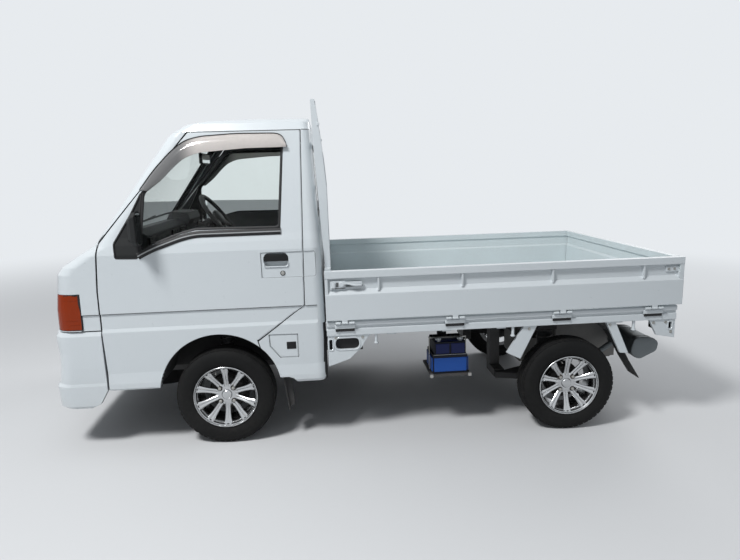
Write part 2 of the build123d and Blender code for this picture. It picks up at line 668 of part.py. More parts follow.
spoke_face = Plane.XY * make_face(Polyline(*[(radius, y) for radius, y in SPOKE_SIDE], close=True))
spoke_plan = Plane.XZ * make_face(Polyline(*SPOKE_PLAN, close=True))
spoke = extrude(spoke_face, amount=14, both=True) & extrude(spoke_plan, amount=80, both=True)
rim_unit = turned(BARREL_OUTER, TYRE_SIDES) - turned(BARREL_INNER, TYRE_SIDES)
rim_unit = rim_unit + turned(BOSS_OUTER, BOSS_SIDES)
for i in range(SPOKES):
    rim_unit = rim_unit + Rot(0, 360 / SPOKES * i, 0) * spoke
rim_unit = rim_unit - cylinder_y(0, 0, HUB_BORE, -30, 24)

# name, axle X, axle Z, track
AXLES = (("front", 0.0, TYRE_R, FRONT_TRACK), ("rear", REAR_AXLE_X, REAR_AXLE_Z, REAR_TRACK))
for axle, x, z, track in AXLES:
    for side, sign in (("left", 1), ("right", -1)):
        rim = Pos(x, track / 2, z) * Rot(0, -RAKE, 0) * rim_unit
        tyre = Pos(x, track / 2, z) * Rot(0, -RAKE, 0) * tyre_unit
        if sign < 0:
            rim = flip(rim)
            tyre = flip(tyre)
        nodes[f"rim_{axle}_{side}"] = rim
        nodes[f"tyre_{axle}_{side}"] = tyre

# Spare wheel lying between the frame rails below the footwell
SPARE_SECTION = ((140, -54), (212, -70), (252, -58), (258, -36), (258, 36), (252, 58), (212, 70), (140, 54))
SPARE_DISC = ((139, 20), (139, 60))
spare = turned(SPARE_SECTION, TYRE_SIDES) - turned(SPARE_DISC, TYRE_SIDES)
nodes["spare_wheel"] = Pos(480, 0, 244) * Rot(90, 0, 0) * spare

# Cargo bed: floor with pressed ribs, side rails, end beam and cross bearers
RAIL_LOW = 574.0
floor_plate = block(BED_FRONT, -2474, -690, 690, BED_FLOOR - 12, BED_FLOOR)
RIB_PITCH = 112.0
RIB_HALF = 26.0
for i in range(-5, 6):
    rib = cross_prism(
        [
            (i * RIB_PITCH - RIB_HALF, BED_FLOOR - 1),
            (i * RIB_PITCH - RIB_HALF + 8, BED_FLOOR + 7),
            (i * RIB_PITCH + RIB_HALF - 8, BED_FLOOR + 7),
            (i * RIB_PITCH + RIB_HALF, BED_FLOOR - 1),
        ],
        -2440,
        -620,
    )
    floor_plate = floor_plate + rib
side_rail = cross_prism(
    [
        (680, BED_FLOOR), (714, BED_FLOOR), (722, 646), (722, 626), (711, 621), (711, 612), (719, 606),
        (719, RAIL_LOW), (688, RAIL_LOW), (688, 640), (680, 640),
    ],
    BED_FRONT,
    -2474,
)
end_beam = block(-2474, -2440, -700, 700, RAIL_LOW, 641)
bed = floor_plate + side_rail + flip(side_rail) + end_beam
BEARERS = (-600, -900, -1200, -1500, -2160)
for x in BEARERS:
    bed = bed + block(x - 25, x + 25, -689, 689, 560, 641)
# Rope hooks under the side rails
for x in (-814, -1560, -2240):
    hook = bar_between((x, 704, 580), (x, 704, 524), 8)
    bed = bed + hook + flip(hook)
# Hinge barrels: two on the rail at each place, with room for the gate's lug between
HINGE_X = (-650.0, -1237.0, -1824.0, -2337.0)
HINGE_Y = 735.0
HINGE_Z = 645.0
HINGE_R = 6.5
for x in HINGE_X:
    for low, high in ((x - 50, x - 22), (x + 22, x + 50)):
        leaf = block(low, high, 718, 724, 622, 646)
        barrel = block(low, high, 724, HINGE_Y, HINGE_Z - 6, HINGE_Z + 5)
        knuckle = Cylinder(HINGE_R, high - low, rotation=(0, 90, 0))
        barrel = barrel + Pos((low + high) / 2, HINGE_Y, HINGE_Z) * knuckle
        bed = bed + leaf + barrel + flip(leaf) + flip(barrel)
TAIL_HINGE_X = -2487.0
TAIL_HINGE_Y = (-520.0, 0.0, 520.0)
for y in TAIL_HINGE_Y:
    for low, high in ((y - 50, y - 22), (y + 22, y + 50)):
        leaf = block(-2478, -2473, low, high, 586, 646)
        barrel = block(TAIL_HINGE_X, -2477, low, high, HINGE_Z - 6, HINGE_Z + 5)
        barrel = barrel + cylinder_y(TAIL_HINGE_X, HINGE_Z, HINGE_R, low, high)
        bed = bed + leaf + barrel
nodes["bed_floor"] = bed


# Drop gates: one rolled section for all three, with stiffening ribs in the recess
def gate_section(out):
    """Cross-section of a gate with its outer face at the given distance."""
    return [
        (out, GATE_LOW), (out, 797), (out - 19, 823), (out - 19, 881), (out, 884), (out, GATE_TOP),
        (GATE_IN, GATE_TOP), (GATE_IN, 884), (GATE_IN + 10, 878), (GATE_IN + 10, 822),
        (GATE_IN + 3, 810), (GATE_IN + 3, GATE_LOW),
    ]


gate = cross_prism(gate_section(GATE_OUT), BED_REAR, BED_FRONT)
for x in (-832, -1276, -1765, -2268):
    gate = gate + block(x - 5, x + 5, 716, GATE_OUT - 3, 812, 884)
for low, high in ((BED_REAR, BED_REAR + 22), (BED_FRONT - 16, BED_FRONT)):
    gate = gate + block(low, high, 708, GATE_OUT - 2, 800, 885)
for x in HINGE_X:
    lug = block(x - 15, x + 15, HINGE_Y - 6, GATE_OUT, HINGE_Z, GATE_LOW + 4)
    lug = lug + Pos(x, HINGE_Y, HINGE_Z) * Cylinder(HINGE_R, 30, rotation=(0, 90, 0))
    gate = gate + lug
# Latch at the front end: a plate and its lever
latch = block(-660, -581, 716, 732, 826, 870) + block(-746, -650, 730, 741, 852, 866)
gate = gate + latch
nodes["side_gate_left"] = gate
nodes["side_gate_right"] = flip(gate)

TAIL_HALF = 690.0


def tail_point(point):
    """Turns a side gate's outward distance into an X behind the bed."""
    out, z = point
    return (BED_REAR + (GATE_OUT - out), z)


tailgate = side_prism([tail_point(p) for p in gate_section(GATE_OUT)], -TAIL_HALF, TAIL_HALF)
for y in (-480, 0, 480):
    tailgate = tailgate + block(BED_REAR + 3, BED_REAR + 22, y - 5, y + 5, 812, 884)
for low, high in ((-TAIL_HALF, -TAIL_HALF + 20), (TAIL_HALF - 20, TAIL_HALF)):
    tailgate = tailgate + block(BED_REAR + 2, BED_REAR + 29, low, high, 800, 885)
for y in TAIL_HINGE_Y:
    lug = block(BED_REAR, TAIL_HINGE_X + 6, y - 15, y + 15, HINGE_Z, GATE_LOW + 4)
    tailgate = tailgate + lug + cylinder_y(TAIL_HINGE_X, HINGE_Z, HINGE_R, y - 15, y + 15)
nodes["tailgate"] = tailgate

# Headboard with its guard posts and bars
post_profile = [
    (-558, BED_FLOOR), (-560, 921), (-549, 1115), (-527, 1544), (-521, GUARD_TOP), (-542, GUARD_TOP),
    (-554, 1697), (-573, 1510), (-585, 1347), (-586, 1124), (-588, 921), (-588, BED_FLOOR),
]
POST_IN = 630.0
POST_OUT = 668.0
head = block(-580, -560, -688, 688, BED_FLOOR, 932) + block(-588, -556, -688, 688, 905, 932)
post = side_prism(post_profile, POST_IN, POST_OUT)
head = head + post + flip(post)
# low Z, high Z, rear X, front X
GUARD_BARS = (
    (1748, 1778, -546, -526),
    (1560, 1580, -566, -532),
    (1340, 1360, -578, -542),
    (1120, 1145, -582, -552),
)
for low, high, back, fore in GUARD_BARS:
    head = head + block(back, fore, -POST_IN - 1, POST_IN + 1, low, high)
for y in (-210, 210):
    head = head + block(-560, -552, y - 12, y + 12, 1130, 1570)
nodes["headboard"] = head

# Side brackets and wheel-arch stays under the bed
front_plate = side_prism(
    [(-556, RAIL_LOW), (-556, 404), (-670, 441), (-737, 505), (-760, 545), (-785, RAIL_LOW)], 694, 712
)
front_plate = front_plate - slot_prism(-660, 526, 128, 62, 690, 716) - slot_prism(-572, 523, 20, 60, 690, 716)
rear_plate = side_prism([(-2474, RAIL_LOW), (-2474, 466), (-2371, 485), (-2324, RAIL_LOW)], 694, 712)
rear_plate = rear_plate - slot_prism(-2446, 538, 22, 44, 690, 716)
front_stay = side_prism([(-1622, RAIL_LOW), (-1694, RAIL_LOW), (-1604, 388), (-1528, 426)], 690, 708)
rear_stay = side_prism([(-2080, RAIL_LOW), (-2134, RAIL_LOW), (-2217, 388), (-2170, 392)], 690, 708)
bracket_parts = []
for plate in (front_plate, rear_plate, front_stay, rear_stay):
    bracket_parts = bracket_parts + solids_of(both_sides(plate))
nodes["bed_brackets"] = Compound(bracket_parts)

# Rubber flaps: an arched strip over each rear tyre and its tail behind it
FLAP_SKIN = 6.0
flap_outer = [
    (-1600, 440), (-1655, 505), (-1716, 552), (-1780, RAIL_LOW - 2), (-2040, RAIL_LOW - 2), (-2140, 500),
    (-2206, 400), (-2244, 330), (-2310, 224),
]
flap_inner = []
for x, z in flap_outer:
    reach = hypot(REAR_AXLE_X - x, REAR_AXLE_Z - z)
    step = FLAP_SKIN / reach
    flap_inner.append((x + (REAR_AXLE_X - x) * step, z + (REAR_AXLE_Z - z) * step))
flap = side_prism(flap_outer + list(reversed(flap_inner)), 560, 674)
# A plain flap behind each front tyre, against the end of the wheelhouse
FRONT_FLAP = [(-307, 376), (-307, 350), (-331, 152), (-337, 152), (-313, 350), (-313, 376)]
FRONT_SKIRT = [(-312, 376), (-312, 350), (-334, 170), (-362, 190), (-348, 376)]
front_flap = side_prism(FRONT_FLAP, 560, 679) + side_prism(FRONT_SKIRT, 660, 666)
nodes["mud_flaps"] = Compound([*solids_of(both_sides(flap)), *solids_of(both_sides(front_flap))])

# Plain masses and vessels below the bed
nodes["battery"] = block(-1331, -1137, 436, 620, 294, 400) + block(-1322, -1146, 446, 610, 400, 474)
nodes["fuel_tank"] = block(-1150, -660, -640, -376, 262, 460)
nodes["engine_block"] = block(-2380, -1990, -250, 250, 216, 470) + block(-1990, -1790, -160, 160, 176, 330)
MUFFLER = [
    (-2300, 372), (-2322, 438), (-2424, 434), (-2462, 402), (-2452, 351), (-2416, 335), (-2352, 304),
    (-2302, 330),
]
muffler = side_prism(MUFFLER, 300, 600)
tail_pipe = bar_between((-2400, 340, 365), (-2480, 340, 340), 18)
nodes["exhaust"] = muffler + tail_pipe
nodes["radiator"] = block(FRONT_WALL_X, 826, -240, 240, 384, 610)

# Rear lamps hung below the end beam
tail_lamp = block(-2472, -2436, 520, 690, 478, 566) + block(-2466, -2446, 560, 650, 560, RAIL_LOW)
nodes["tail_lamps"] = both_sides(tail_lamp)


# The truck set on its wheels: nose down about the front axle, origin below its middle
def on_wheels(shape):
    """Level drawing turned to the parked attitude."""
    return shape.rotate(Axis((0, 0, TYRE_R), (0, 1, 0)), RAKE)


parked = {name: on_wheels(shape) for name, shape in nodes.items()}
boxes = [shape.bounding_box() for shape in parked.values()]
middle_x = (min(box.min.X for box in boxes) + max(box.max.X for box in boxes)) / 2
print("middle x", middle_x, "nodes", len(nodes))
os.makedirs("parts", exist_ok=True)
for name, shape in parked.items():
    export_step(Pos(-middle_x, 0, 0) * shape, f"parts/{name}.step")
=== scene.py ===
import json
import math

import bmesh
import bpy
from mathutils import Matrix, Vector
from mathutils.bvhtree import BVHTree


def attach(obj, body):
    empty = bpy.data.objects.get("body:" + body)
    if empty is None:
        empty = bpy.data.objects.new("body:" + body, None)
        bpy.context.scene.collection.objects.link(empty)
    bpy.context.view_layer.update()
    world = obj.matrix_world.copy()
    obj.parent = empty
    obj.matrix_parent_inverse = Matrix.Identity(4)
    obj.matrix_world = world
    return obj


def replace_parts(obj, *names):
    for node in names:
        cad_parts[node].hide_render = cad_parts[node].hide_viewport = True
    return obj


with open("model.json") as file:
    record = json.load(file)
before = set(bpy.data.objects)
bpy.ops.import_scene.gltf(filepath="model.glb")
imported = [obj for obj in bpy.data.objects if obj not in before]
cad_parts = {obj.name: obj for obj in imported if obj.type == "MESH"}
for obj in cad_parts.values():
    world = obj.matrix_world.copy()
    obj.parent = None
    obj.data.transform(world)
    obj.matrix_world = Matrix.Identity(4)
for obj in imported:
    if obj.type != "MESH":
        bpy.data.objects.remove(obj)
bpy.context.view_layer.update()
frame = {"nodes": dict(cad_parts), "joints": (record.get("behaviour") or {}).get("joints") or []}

# The studio: a pale floor under soft overcast light, seen from the truck's left side.
# The camera stands 3.6 m off at eye height, level with the rear of the cab, with a wide lens.
CAMERA_AT = (0.2281, 3.5743, 1.4258)
CAMERA_YAW = 0.0742
CAMERA_PITCH = 0.1868
CAMERA_ROLL = -0.0067
LENS_MM = 27.21
FLOOR_HALF = 30.0
SKY = (0.86, 0.90, 0.95)
BACKDROP = (0.80, 0.83, 0.86, 1)
FADE_FROM = 2.6
FADE_TO = 9.0
SKY_STRENGTH = 0.36

looking = Vector((
    -math.sin(CAMERA_YAW) * math.cos(CAMERA_PITCH),
    -math.cos(CAMERA_YAW) * math.cos(CAMERA_PITCH),
    -math.sin(CAMERA_PITCH),
))
level_right = Vector((-math.cos(CAMERA_YAW), math.sin(CAMERA_YAW), 0))
level_up = level_right.cross(looking)
camera_right = level_right * math.cos(CAMERA_ROLL) + level_up * math.sin(CAMERA_ROLL)
camera_up = camera_right.cross(looking)
camera = bpy.data.objects.new("camera", bpy.data.cameras.new("camera"))
bpy.context.scene.collection.objects.link(camera)
camera_turn = Matrix((camera_right, camera_up, -looking)).transposed()
camera.matrix_world = Matrix.Translation(CAMERA_AT) @ camera_turn.to_4x4()
camera.data.lens = LENS_MM
camera.data.sensor_width = 36
camera.data.clip_start = 0.05
bpy.context.scene.camera = camera
bpy.context.scene.view_settings.view_transform = "Standard"


def feed(tree, node, inputs):
    """Links sockets to a node's inputs, or gives the inputs plain values."""
    for key, value in inputs.items():
        if isinstance(value, bpy.types.NodeSocket):
            tree.links.new(value, node.inputs[key])
        else:
            node.inputs[key].default_value = value


def node_in(tree, kind, inputs=None, **settings):
    """Adds a node, with its settings and then its inputs."""
    node = tree.nodes.new(kind)
    for key, value in settings.items():
        setattr(node, key, value)
    feed(tree, node, inputs or {})
    return node


def calc(tree, operation, *values, clamp=False):
    """Math node fed with sockets or numbers; returns its result."""
    node = node_in(tree, "ShaderNodeMath", dict(enumerate(values)), operation=operation, use_clamp=clamp)
    return node.outputs[0]


def shaded(name):
    """New node material: itself, its tree and its main shader."""
    material = bpy.data.materials.new(name)
    material.use_nodes = True
    return material, material.node_tree, material.node_tree.nodes["Principled BSDF"]


world = bpy.data.worlds.new("overcast")
bpy.context.scene.world = world
world.use_nodes = True
sky_tree = world.node_tree
ray = node_in(sky_tree, "ShaderNodeLightPath").outputs
seen = calc(sky_tree, "ADD", ray["Is Camera Ray"], ray["Is Transmission Ray"], clamp=True)
lighting = sky_tree.nodes["Background"]
feed(sky_tree, lighting, {"Color": (*SKY, 1), "Strength": SKY_STRENGTH})
backdrop = node_in(sky_tree, "ShaderNodeBackground", {"Color": BACKDROP, "Strength": 1.0})
world_mix = node_in(sky_tree, "ShaderNodeMixShader", {
    "Fac": calc(sky_tree, "MAXIMUM", seen, ray["Is Glossy Ray"]), 1: lighting.outputs[0],
    2: backdrop.outputs[0],
})
feed(sky_tree, sky_tree.nodes["World Output"], {"Surface": world_mix.outputs[0]})

# name, place, width, watts
SOFT_BOXES = (
    ("key", (3.0, 3.4, 6.0), 1.3, 400), ("rear", (-4.5, -3.4, 4.5), 3.5, 150),
)
for box_name, place, width, watts in SOFT_BOXES:
    lamp = bpy.data.objects.new(box_name, bpy.data.lights.new(box_name, "AREA"))
    bpy.context.scene.collection.objects.link(lamp)
    lamp.data.size = width
    lamp.data.energy = watts
    lamp.location = place
    lamp.rotation_mode = "QUATERNION"
    lamp.rotation_quaternion = (Vector(place) - Vector((0, 0, 0.6))).to_track_quat("Z", "Y")

floor_mesh = bpy.data.meshes.new("studio_floor")
floor_mesh.from_pydata(
    [(x * FLOOR_HALF, y * FLOOR_HALF, 0) for x, y in ((-1, -1), (1, -1), (1, 1), (-1, 1))], [],
    [(0, 1, 2, 3)],
)
studio_floor = bpy.data.objects.new("studio_floor", floor_mesh)
bpy.context.scene.collection.objects.link(studio_floor)
floor_finish, floor_tree, floor_shader = shaded("Pale floor")
feed(floor_tree, floor_shader, {"Base Color": (0.62, 0.63, 0.64, 1), "Roughness": 0.9})
floor_place = node_in(floor_tree, "ShaderNodeTexCoord").outputs["Object"]
floor_reach = node_in(floor_tree, "ShaderNodeVectorMath", {0: floor_place}, operation="LENGTH")
floor_fade = node_in(floor_tree, "ShaderNodeMapRange", {
    "From Min": FADE_FROM, "From Max": FADE_TO, "Value": floor_reach.outputs["Value"],
}, interpolation_type="SMOOTHSTEP")
floor_ray = node_in(floor_tree, "ShaderNodeLightPath").outputs
far_floor = node_in(floor_tree, "ShaderNodeEmission", {"Color": BACKDROP})
floor_far_mix = node_in(floor_tree, "ShaderNodeMixShader", {
    "Fac": calc(floor_tree, "MULTIPLY", floor_fade.outputs["Result"], floor_ray["Is Camera Ray"]),
    1: floor_shader.outputs[0], 2: far_floor.outputs[0],
})
clear_below = node_in(floor_tree, "ShaderNodeBsdfTransparent")
floor_side = node_in(floor_tree, "ShaderNodeNewGeometry")
floor_mix = node_in(floor_tree, "ShaderNodeMixShader", {
    "Fac": floor_side.outputs["Backfacing"], 1: floor_far_mix.outputs[0], 2: clear_below.outputs[0],
})
feed(floor_tree, floor_tree.nodes["Material Output"], {"Surface": floor_mix.outputs[0]})
floor_mesh.materials.append(floor_finish)


# Ladder frame: two pressed-steel box rails with crossmembers, welded, in satin black chassis paint
# that road dust has dulled. The frame carries the cab, the bed, the axles and the engine.
def shader_group(name, inputs, outputs):
    """Shader node group with named sockets: returns the tree, its input node and its output node."""
    tree = bpy.data.node_groups.new(name, "ShaderNodeTree")
    for socket_name, kind, value in inputs:
        socket = tree.interface.new_socket(socket_name, in_out="INPUT", socket_type=kind)
        socket.default_value = value
    for socket_name, kind in outputs:
        tree.interface.new_socket(socket_name, in_out="OUTPUT", socket_type=kind)
    return tree, tree.nodes.new("NodeGroupInput"), tree.nodes.new("NodeGroupOutput")


def cloud(tree, scale, detail=3.0):
    """Noise over the piece in its own metres."""
    place = node_in(tree, "ShaderNodeTexCoord").outputs["Object"]
    noise = node_in(tree, "ShaderNodeTexNoise", {"Detail": detail, "Vector": place, "Scale": scale})
    return noise.outputs["Fac"]


def blended(tree, share, first, second):
    """Colour between two colours."""
    node = node_in(tree, "ShaderNodeMix", {"Factor": share, 6: first, 7: second}, data_type="RGBA")
    return node.outputs[2]


road_film, film_in, film_out = shader_group(
    "Road film",
    [
        ("Color", "NodeSocketColor", (0.8, 0.8, 0.8, 1)),
        ("Dust Color", "NodeSocketColor", (0.36, 0.33, 0.29, 1)),
        ("Dust", "NodeSocketFloat", 0.4),
        ("Dust Height", "NodeSocketFloat", 0.5),
        ("Drift", "NodeSocketFloat", 0.05),
    ],
    [("Color", "NodeSocketColor"), ("Dust", "NodeSocketFloat")],
)
film_place = node_in(road_film, "ShaderNodeTexCoord").outputs["Object"]
film_height = node_in(road_film, "ShaderNodeSeparateXYZ", {0: film_place}).outputs["Z"]
film_normal = node_in(road_film, "ShaderNodeNewGeometry").outputs["Normal"]
film_up = node_in(road_film, "ShaderNodeSeparateXYZ", {0: film_normal}).outputs["Z"]
low_share = calc(
    road_film, "SUBTRACT", 1.0, calc(road_film, "DIVIDE", film_height, film_in.outputs["Dust Height"]),
    clamp=True,
)
settled = calc(road_film, "MULTIPLY", calc(road_film, "MAXIMUM", film_up, 0.0), 0.35)
film_lies = calc(road_film, "ADD", low_share, settled)
patches = calc(road_film, "MULTIPLY", cloud(road_film, 9.0, 6.0), cloud(road_film, 60.0, 4.0))
patches = calc(road_film, "MULTIPLY", patches, 3.2)
dust_lies = calc(road_film, "MULTIPLY", film_lies, patches)
dust_mask = calc(road_film, "MULTIPLY", dust_lies, film_in.outputs["Dust"], clamp=True)
drift_share = calc(road_film, "MULTIPLY", cloud(road_film, 2.3, 3.0), film_in.outputs["Drift"])
drifted = blended(road_film, drift_share, film_in.outputs["Color"], (0.3, 0.32, 0.34, 1))
feed(road_film, film_out, {
    "Color": blended(road_film, dust_mask, drifted, film_in.outputs["Dust Color"]), "Dust": dust_mask,
})

worn_edges, worn_in, worn_out = shader_group(
    "Worn edges",
    [("Reach", "NodeSocketFloat", 0.004), ("Wear", "NodeSocketFloat", 0.5),
    ("Patch Scale", "NodeSocketFloat", 30.0)],
    [("Mask", "NodeSocketFloat")],
)
edge_round = node_in(worn_edges, "ShaderNodeBevel", {"Radius": worn_in.outputs["Reach"]}, samples=4)
edge_flat = node_in(worn_edges, "ShaderNodeNewGeometry")
edge_turn = node_in(worn_edges, "ShaderNodeVectorMath", {
    0: edge_round.outputs["Normal"], 1: edge_flat.outputs["Normal"],
}, operation="DOT_PRODUCT")
edge_near = calc(worn_edges, "SUBTRACT", 1.0, edge_turn.outputs["Value"])
edge_near = calc(worn_edges, "MULTIPLY", edge_near, 5.0, clamp=True)
edge_patch = calc(worn_edges, "GREATER_THAN", cloud(worn_edges, worn_in.outputs["Patch Scale"], 5.0), 0.56)
edge_worn = calc(worn_edges, "MULTIPLY", edge_near, edge_patch)
feed(worn_edges, worn_out, {
    "Mask": calc(worn_edges, "MULTIPLY", edge_worn, worn_in.outputs["Wear"], clamp=True),
})

fine_grain, grain_in, grain_out = shader_group(
    "Fine grain",
    [("Scale", "NodeSocketFloat", 600.0), ("Coarse", "NodeSocketFloat", 0.3)],
    [("Height", "NodeSocketFloat"), ("Tone", "NodeSocketFloat")],
)
grain_small = cloud(fine_grain, grain_in.outputs["Scale"], 2.0)
grain_large = cloud(fine_grain, calc(fine_grain, "MULTIPLY", grain_in.outputs["Scale"], 0.12), 3.0)
grain_coarse = calc(fine_grain, "MULTIPLY", grain_large, grain_in.outputs["Coarse"])
feed(
    fine_grain, grain_out, {"Height": calc(fine_grain, "ADD", grain_small, grain_coarse), "Tone": grain_large}
)


def placed_group(material, tree, **values):
    """A shader group placed in a material with its own values."""
    node = material.node_tree.nodes.new("ShaderNodeGroup")
    node.node_tree = tree
    for socket_name, value in values.items():
        node.inputs[socket_name.replace("_", " ")].default_value = value
    return node


def finish(
    name, colour, roughness, metal=0.0, coat=0.0, dust=0.3, dust_height=0.5, drift=0.05,
    grain=600.0, coarse=0.3, depth=0.02, wear=0.0, worn_colour=(0.2, 0.12, 0.08), worn_metal=0.0, reach=0.004,
    rounded=0.0, shine=0.5,
):
    """Finish of a part: its colour under road film, its grain, and what shows where its edges are worn."""
    material, tree, shader = shaded(name)
    film = placed_group(
        material, road_film, Color=(*colour, 1), Dust=dust, Dust_Height=dust_height, Drift=drift
    )
    surface = placed_group(material, fine_grain, Scale=grain, Coarse=coarse)
    skin = film.outputs["Color"]
    rough = calc(tree, "ADD", roughness - 0.06, calc(tree, "MULTIPLY", surface.outputs["Tone"], 0.12))
    rough = calc(tree, "ADD", rough, calc(tree, "MULTIPLY", film.outputs["Dust"], 0.4), clamp=True)
    metallic = metal
    if wear:
        worn = placed_group(material, worn_edges, Reach=reach, Wear=wear)
        skin = blended(tree, worn.outputs["Mask"], skin, (*worn_colour, 1))
        if worn_metal != metal:
            share = calc(tree, "MULTIPLY", worn.outputs["Mask"], worn_metal - metal)
            metallic = calc(tree, "ADD", share, metal, clamp=True)
    bump = node_in(tree, "ShaderNodeBump", {
        "Strength": 0.5, "Distance": depth / 1000, "Height": surface.outputs["Height"],
    })
    if rounded:
        soft_edge = node_in(tree, "ShaderNodeBevel", {"Radius": rounded}, samples=4)
        feed(tree, bump, {"Normal": soft_edge.outputs["Normal"]})
    feed(tree, shader, {
        "Base Color": skin, "Roughness": rough, "Metallic": metallic, "Specular IOR Level": shine,
        "Coat Weight": coat, "Coat Roughness": 0.06, "Normal": bump.outputs["Normal"],
    })
    return material


def dress(material, *names):
    """Gives CAD nodes their finish."""
    for name in names:
        node = frame["nodes"][name]
        node.data.materials.clear()
        node.data.materials.append(material)


chassis_black = finish(
    "Black chassis paint", (0.02, 0.02, 0.022), 0.55, dust=0.12, dust_height=0.7, grain=250, depth=0.15,
    wear=0.4, worn_colour=(0.07, 0.045, 0.03), reach=0.006,
)
dress(chassis_black, "ladder_frame", "fuel_tank")

MM = 0.001
TYRE_R = 262.0
RAKE = math.radians(1.34)
front_axle_x = next(j["pos_m"][0] for j in frame["joints"] if j["name"] == "wheel_front_left_spin")
# From the level drawing in millimetres, X forward of the front axle, to the truck on its wheels
LEVEL = (
   
    Matrix.Translation((front_axle_x, 0, TYRE_R * MM))
    @ Matrix.Rotation(RAKE, 4, "Y")
    @ Matrix.Translation((0, 0, -TYRE_R * MM))
    @ Matrix.Scale(MM, 4)
)


def cuboid(form, x_low, x_high, y_low, y_high, z_low, z_high):
    """Adds a rectangular bar to a form."""
    corners = [(x, y, z) for x in (x_low, x_high) for y in (y_low, y_high) for z in (z_low, z_high)]
    verts = [form.verts.new(c) for c in corners]
    for a, b, c, d in ((0, 1, 3, 2), (4, 6, 7, 5), (0, 4, 5, 1), (2, 3, 7, 6), (0, 2, 6, 4), (1, 5, 7, 3)):
        form.faces.new((verts[a], verts[b], verts[c], verts[d]))


def blocks(*sizes):
    """A form of rectangular bars."""
    form = bmesh.new()
    for size in sizes:
        cuboid(form, *size)
    return form


def plate(form, outline, low, high, across="Y"):
    """Adds a flat plate: its outline in the side view, its thickness across the truck, or the same turned."""
    order = {"Y": (0, 2, 1), "X": (1, 2, 0), "Z": (0, 1, 2)}[across]
    rings = []
    for level_at in (low, high):
        ring = []
        for a, b in outline:
            spot = [0.0, 0.0, 0.0]
            spot[order[0]], spot[order[1]], spot[order[2]] = a, b, level_at
            ring.append(form.verts.new(spot))
        rings.append(ring)
    form.faces.new(rings[0])
    form.faces.new(list(reversed(rings[1])))
    for i in range(len(outline)):
        form.faces.new((rings[0][i - 1], rings[0][i], rings[1][i], rings[1][i - 1]))


def loop_on(form, path, outs, profile, closed=False):
    """Adds a section, in distances across a path and out of the surface, carried along the path."""
    rings = []
    count = len(path)
    for i, spot in enumerate(path):
        after = path[(i + 1) % count] if closed or i + 1 < count else spot
        before = path[i - 1] if closed or i > 0 else spot
        along = (Vector(after) - Vector(before)).normalized()
        out = Vector(outs[i])
        out = (out - along * out.dot(along)).normalized()
        across = along.cross(out)
        rings.append([form.verts.new(Vector(spot) + across * a + out * o) for a, o in profile])
    pairs = list(zip(rings, rings[1:])) + ([(rings[-1], rings[0])] if closed else [])
    sides = len(profile)
    for ring, following in pairs:
        for i in range(sides):
            form.faces.new((ring[i - 1], ring[i], following[i], following[i - 1]))
    if not closed:
        form.faces.new(rings[0])
        form.faces.new(list(reversed(rings[-1])))


def strip(path_and_outs, profile, closed=False):
    """A form of one section carried along a path."""
    form = bmesh.new()
    loop_on(form, *path_and_outs, profile, closed)
    return form


def rod(form, path, radius, sides=10):
    """Adds a round rod along a path."""
    profile = [
        (radius * math.cos(math.tau * i / sides),
        radius * math.sin(math.tau * i / sides)) for i in range(sides)
    ]
    outs = []
    for i in range(len(path)):
        along = (Vector(path[min(i + 1, len(path) - 1)]) - Vector(path[max(i - 1, 0)])).normalized()
        guide = Vector(outs[-1]) if outs else (Vector((0, 0, 1)) if abs(along.z) < 0.8 else Vector((1, 0, 0)))
        outs.append((guide - along * guide.dot(along)).normalized())
    loop_on(form, path, outs, profile)


def spun(form, section, centre, steps, axis="Y"):
    """Adds a turned form: radius and offset pairs spun about an axis; a zero radius is a pole."""
    rings = []
    for radius, offset in section:
        ring = []
        for i in range(steps if radius > 0.01 else 1):
            turn = math.tau * i / steps
            a, b = radius * math.cos(turn), radius * math.sin(turn)
            spot = {"Y": (a, offset, b), "X": (offset, a, b), "Z": (a, b, offset)}[axis]
            ring.append(form.verts.new(Vector(centre) + Vector(spot)))
        rings.append(ring)
    for ring, following in zip(rings, rings[1:]):
        for i in range(steps):
            corner = [ring[(i - 1) % len(ring)], ring[i % len(ring)]]
            corner += [following[i % len(following)], following[(i - 1) % len(following)]]
            kept = list(dict.fromkeys(corner))
            if len(kept) > 2:
                form.faces.new(kept)
    for ring in (rings[0], rings[-1]):
        if len(ring) > 1 and rings[0] is not rings[-1]:
            form.faces.new(ring)


def bent(path, radius, steps=5, closed=False):
    """A path with its corners rounded."""
    points = [Vector(p) for p in path]
    result = []
    for i, spot in enumerate(points):
        if not closed and i in (0, len(points) - 1):
            result.append(spot)
            continue
        before = points[i - 1] - spot
        after = points[(i + 1) % len(points)] - spot
        cut = min(radius, before.length * 0.45, after.length * 0.45)
        start = spot + before.normalized() * cut
        end = spot + after.normalized() * cut
        for k in range(steps + 1):
            t = k / steps
            result.append(start * (1 - t) ** 2 + spot * 2 * t * (1 - t) + end * t ** 2)
    return result


def fine(path, step, closed=False):
    """A path with points added so that none are further apart than the step."""
    points = [Vector(p) for p in path]
    result = []
    ends = points[1:] + ([points[0]] if closed else [])
    for spot, following in zip(points, ends):
        parts = max(1, math.ceil((following - spot).length / step))
        result += [spot.lerp(following, k / parts) for k in range(parts)]
    if not closed:
        result.append(points[-1])
    return result


def mirrored(form):
    """The same form on the truck's right-hand side."""
    other = form.copy()
    for vert in other.verts:
        vert.co.y = -vert.co.y
    bmesh.ops.reverse_faces(other, faces=other.faces)
    return other


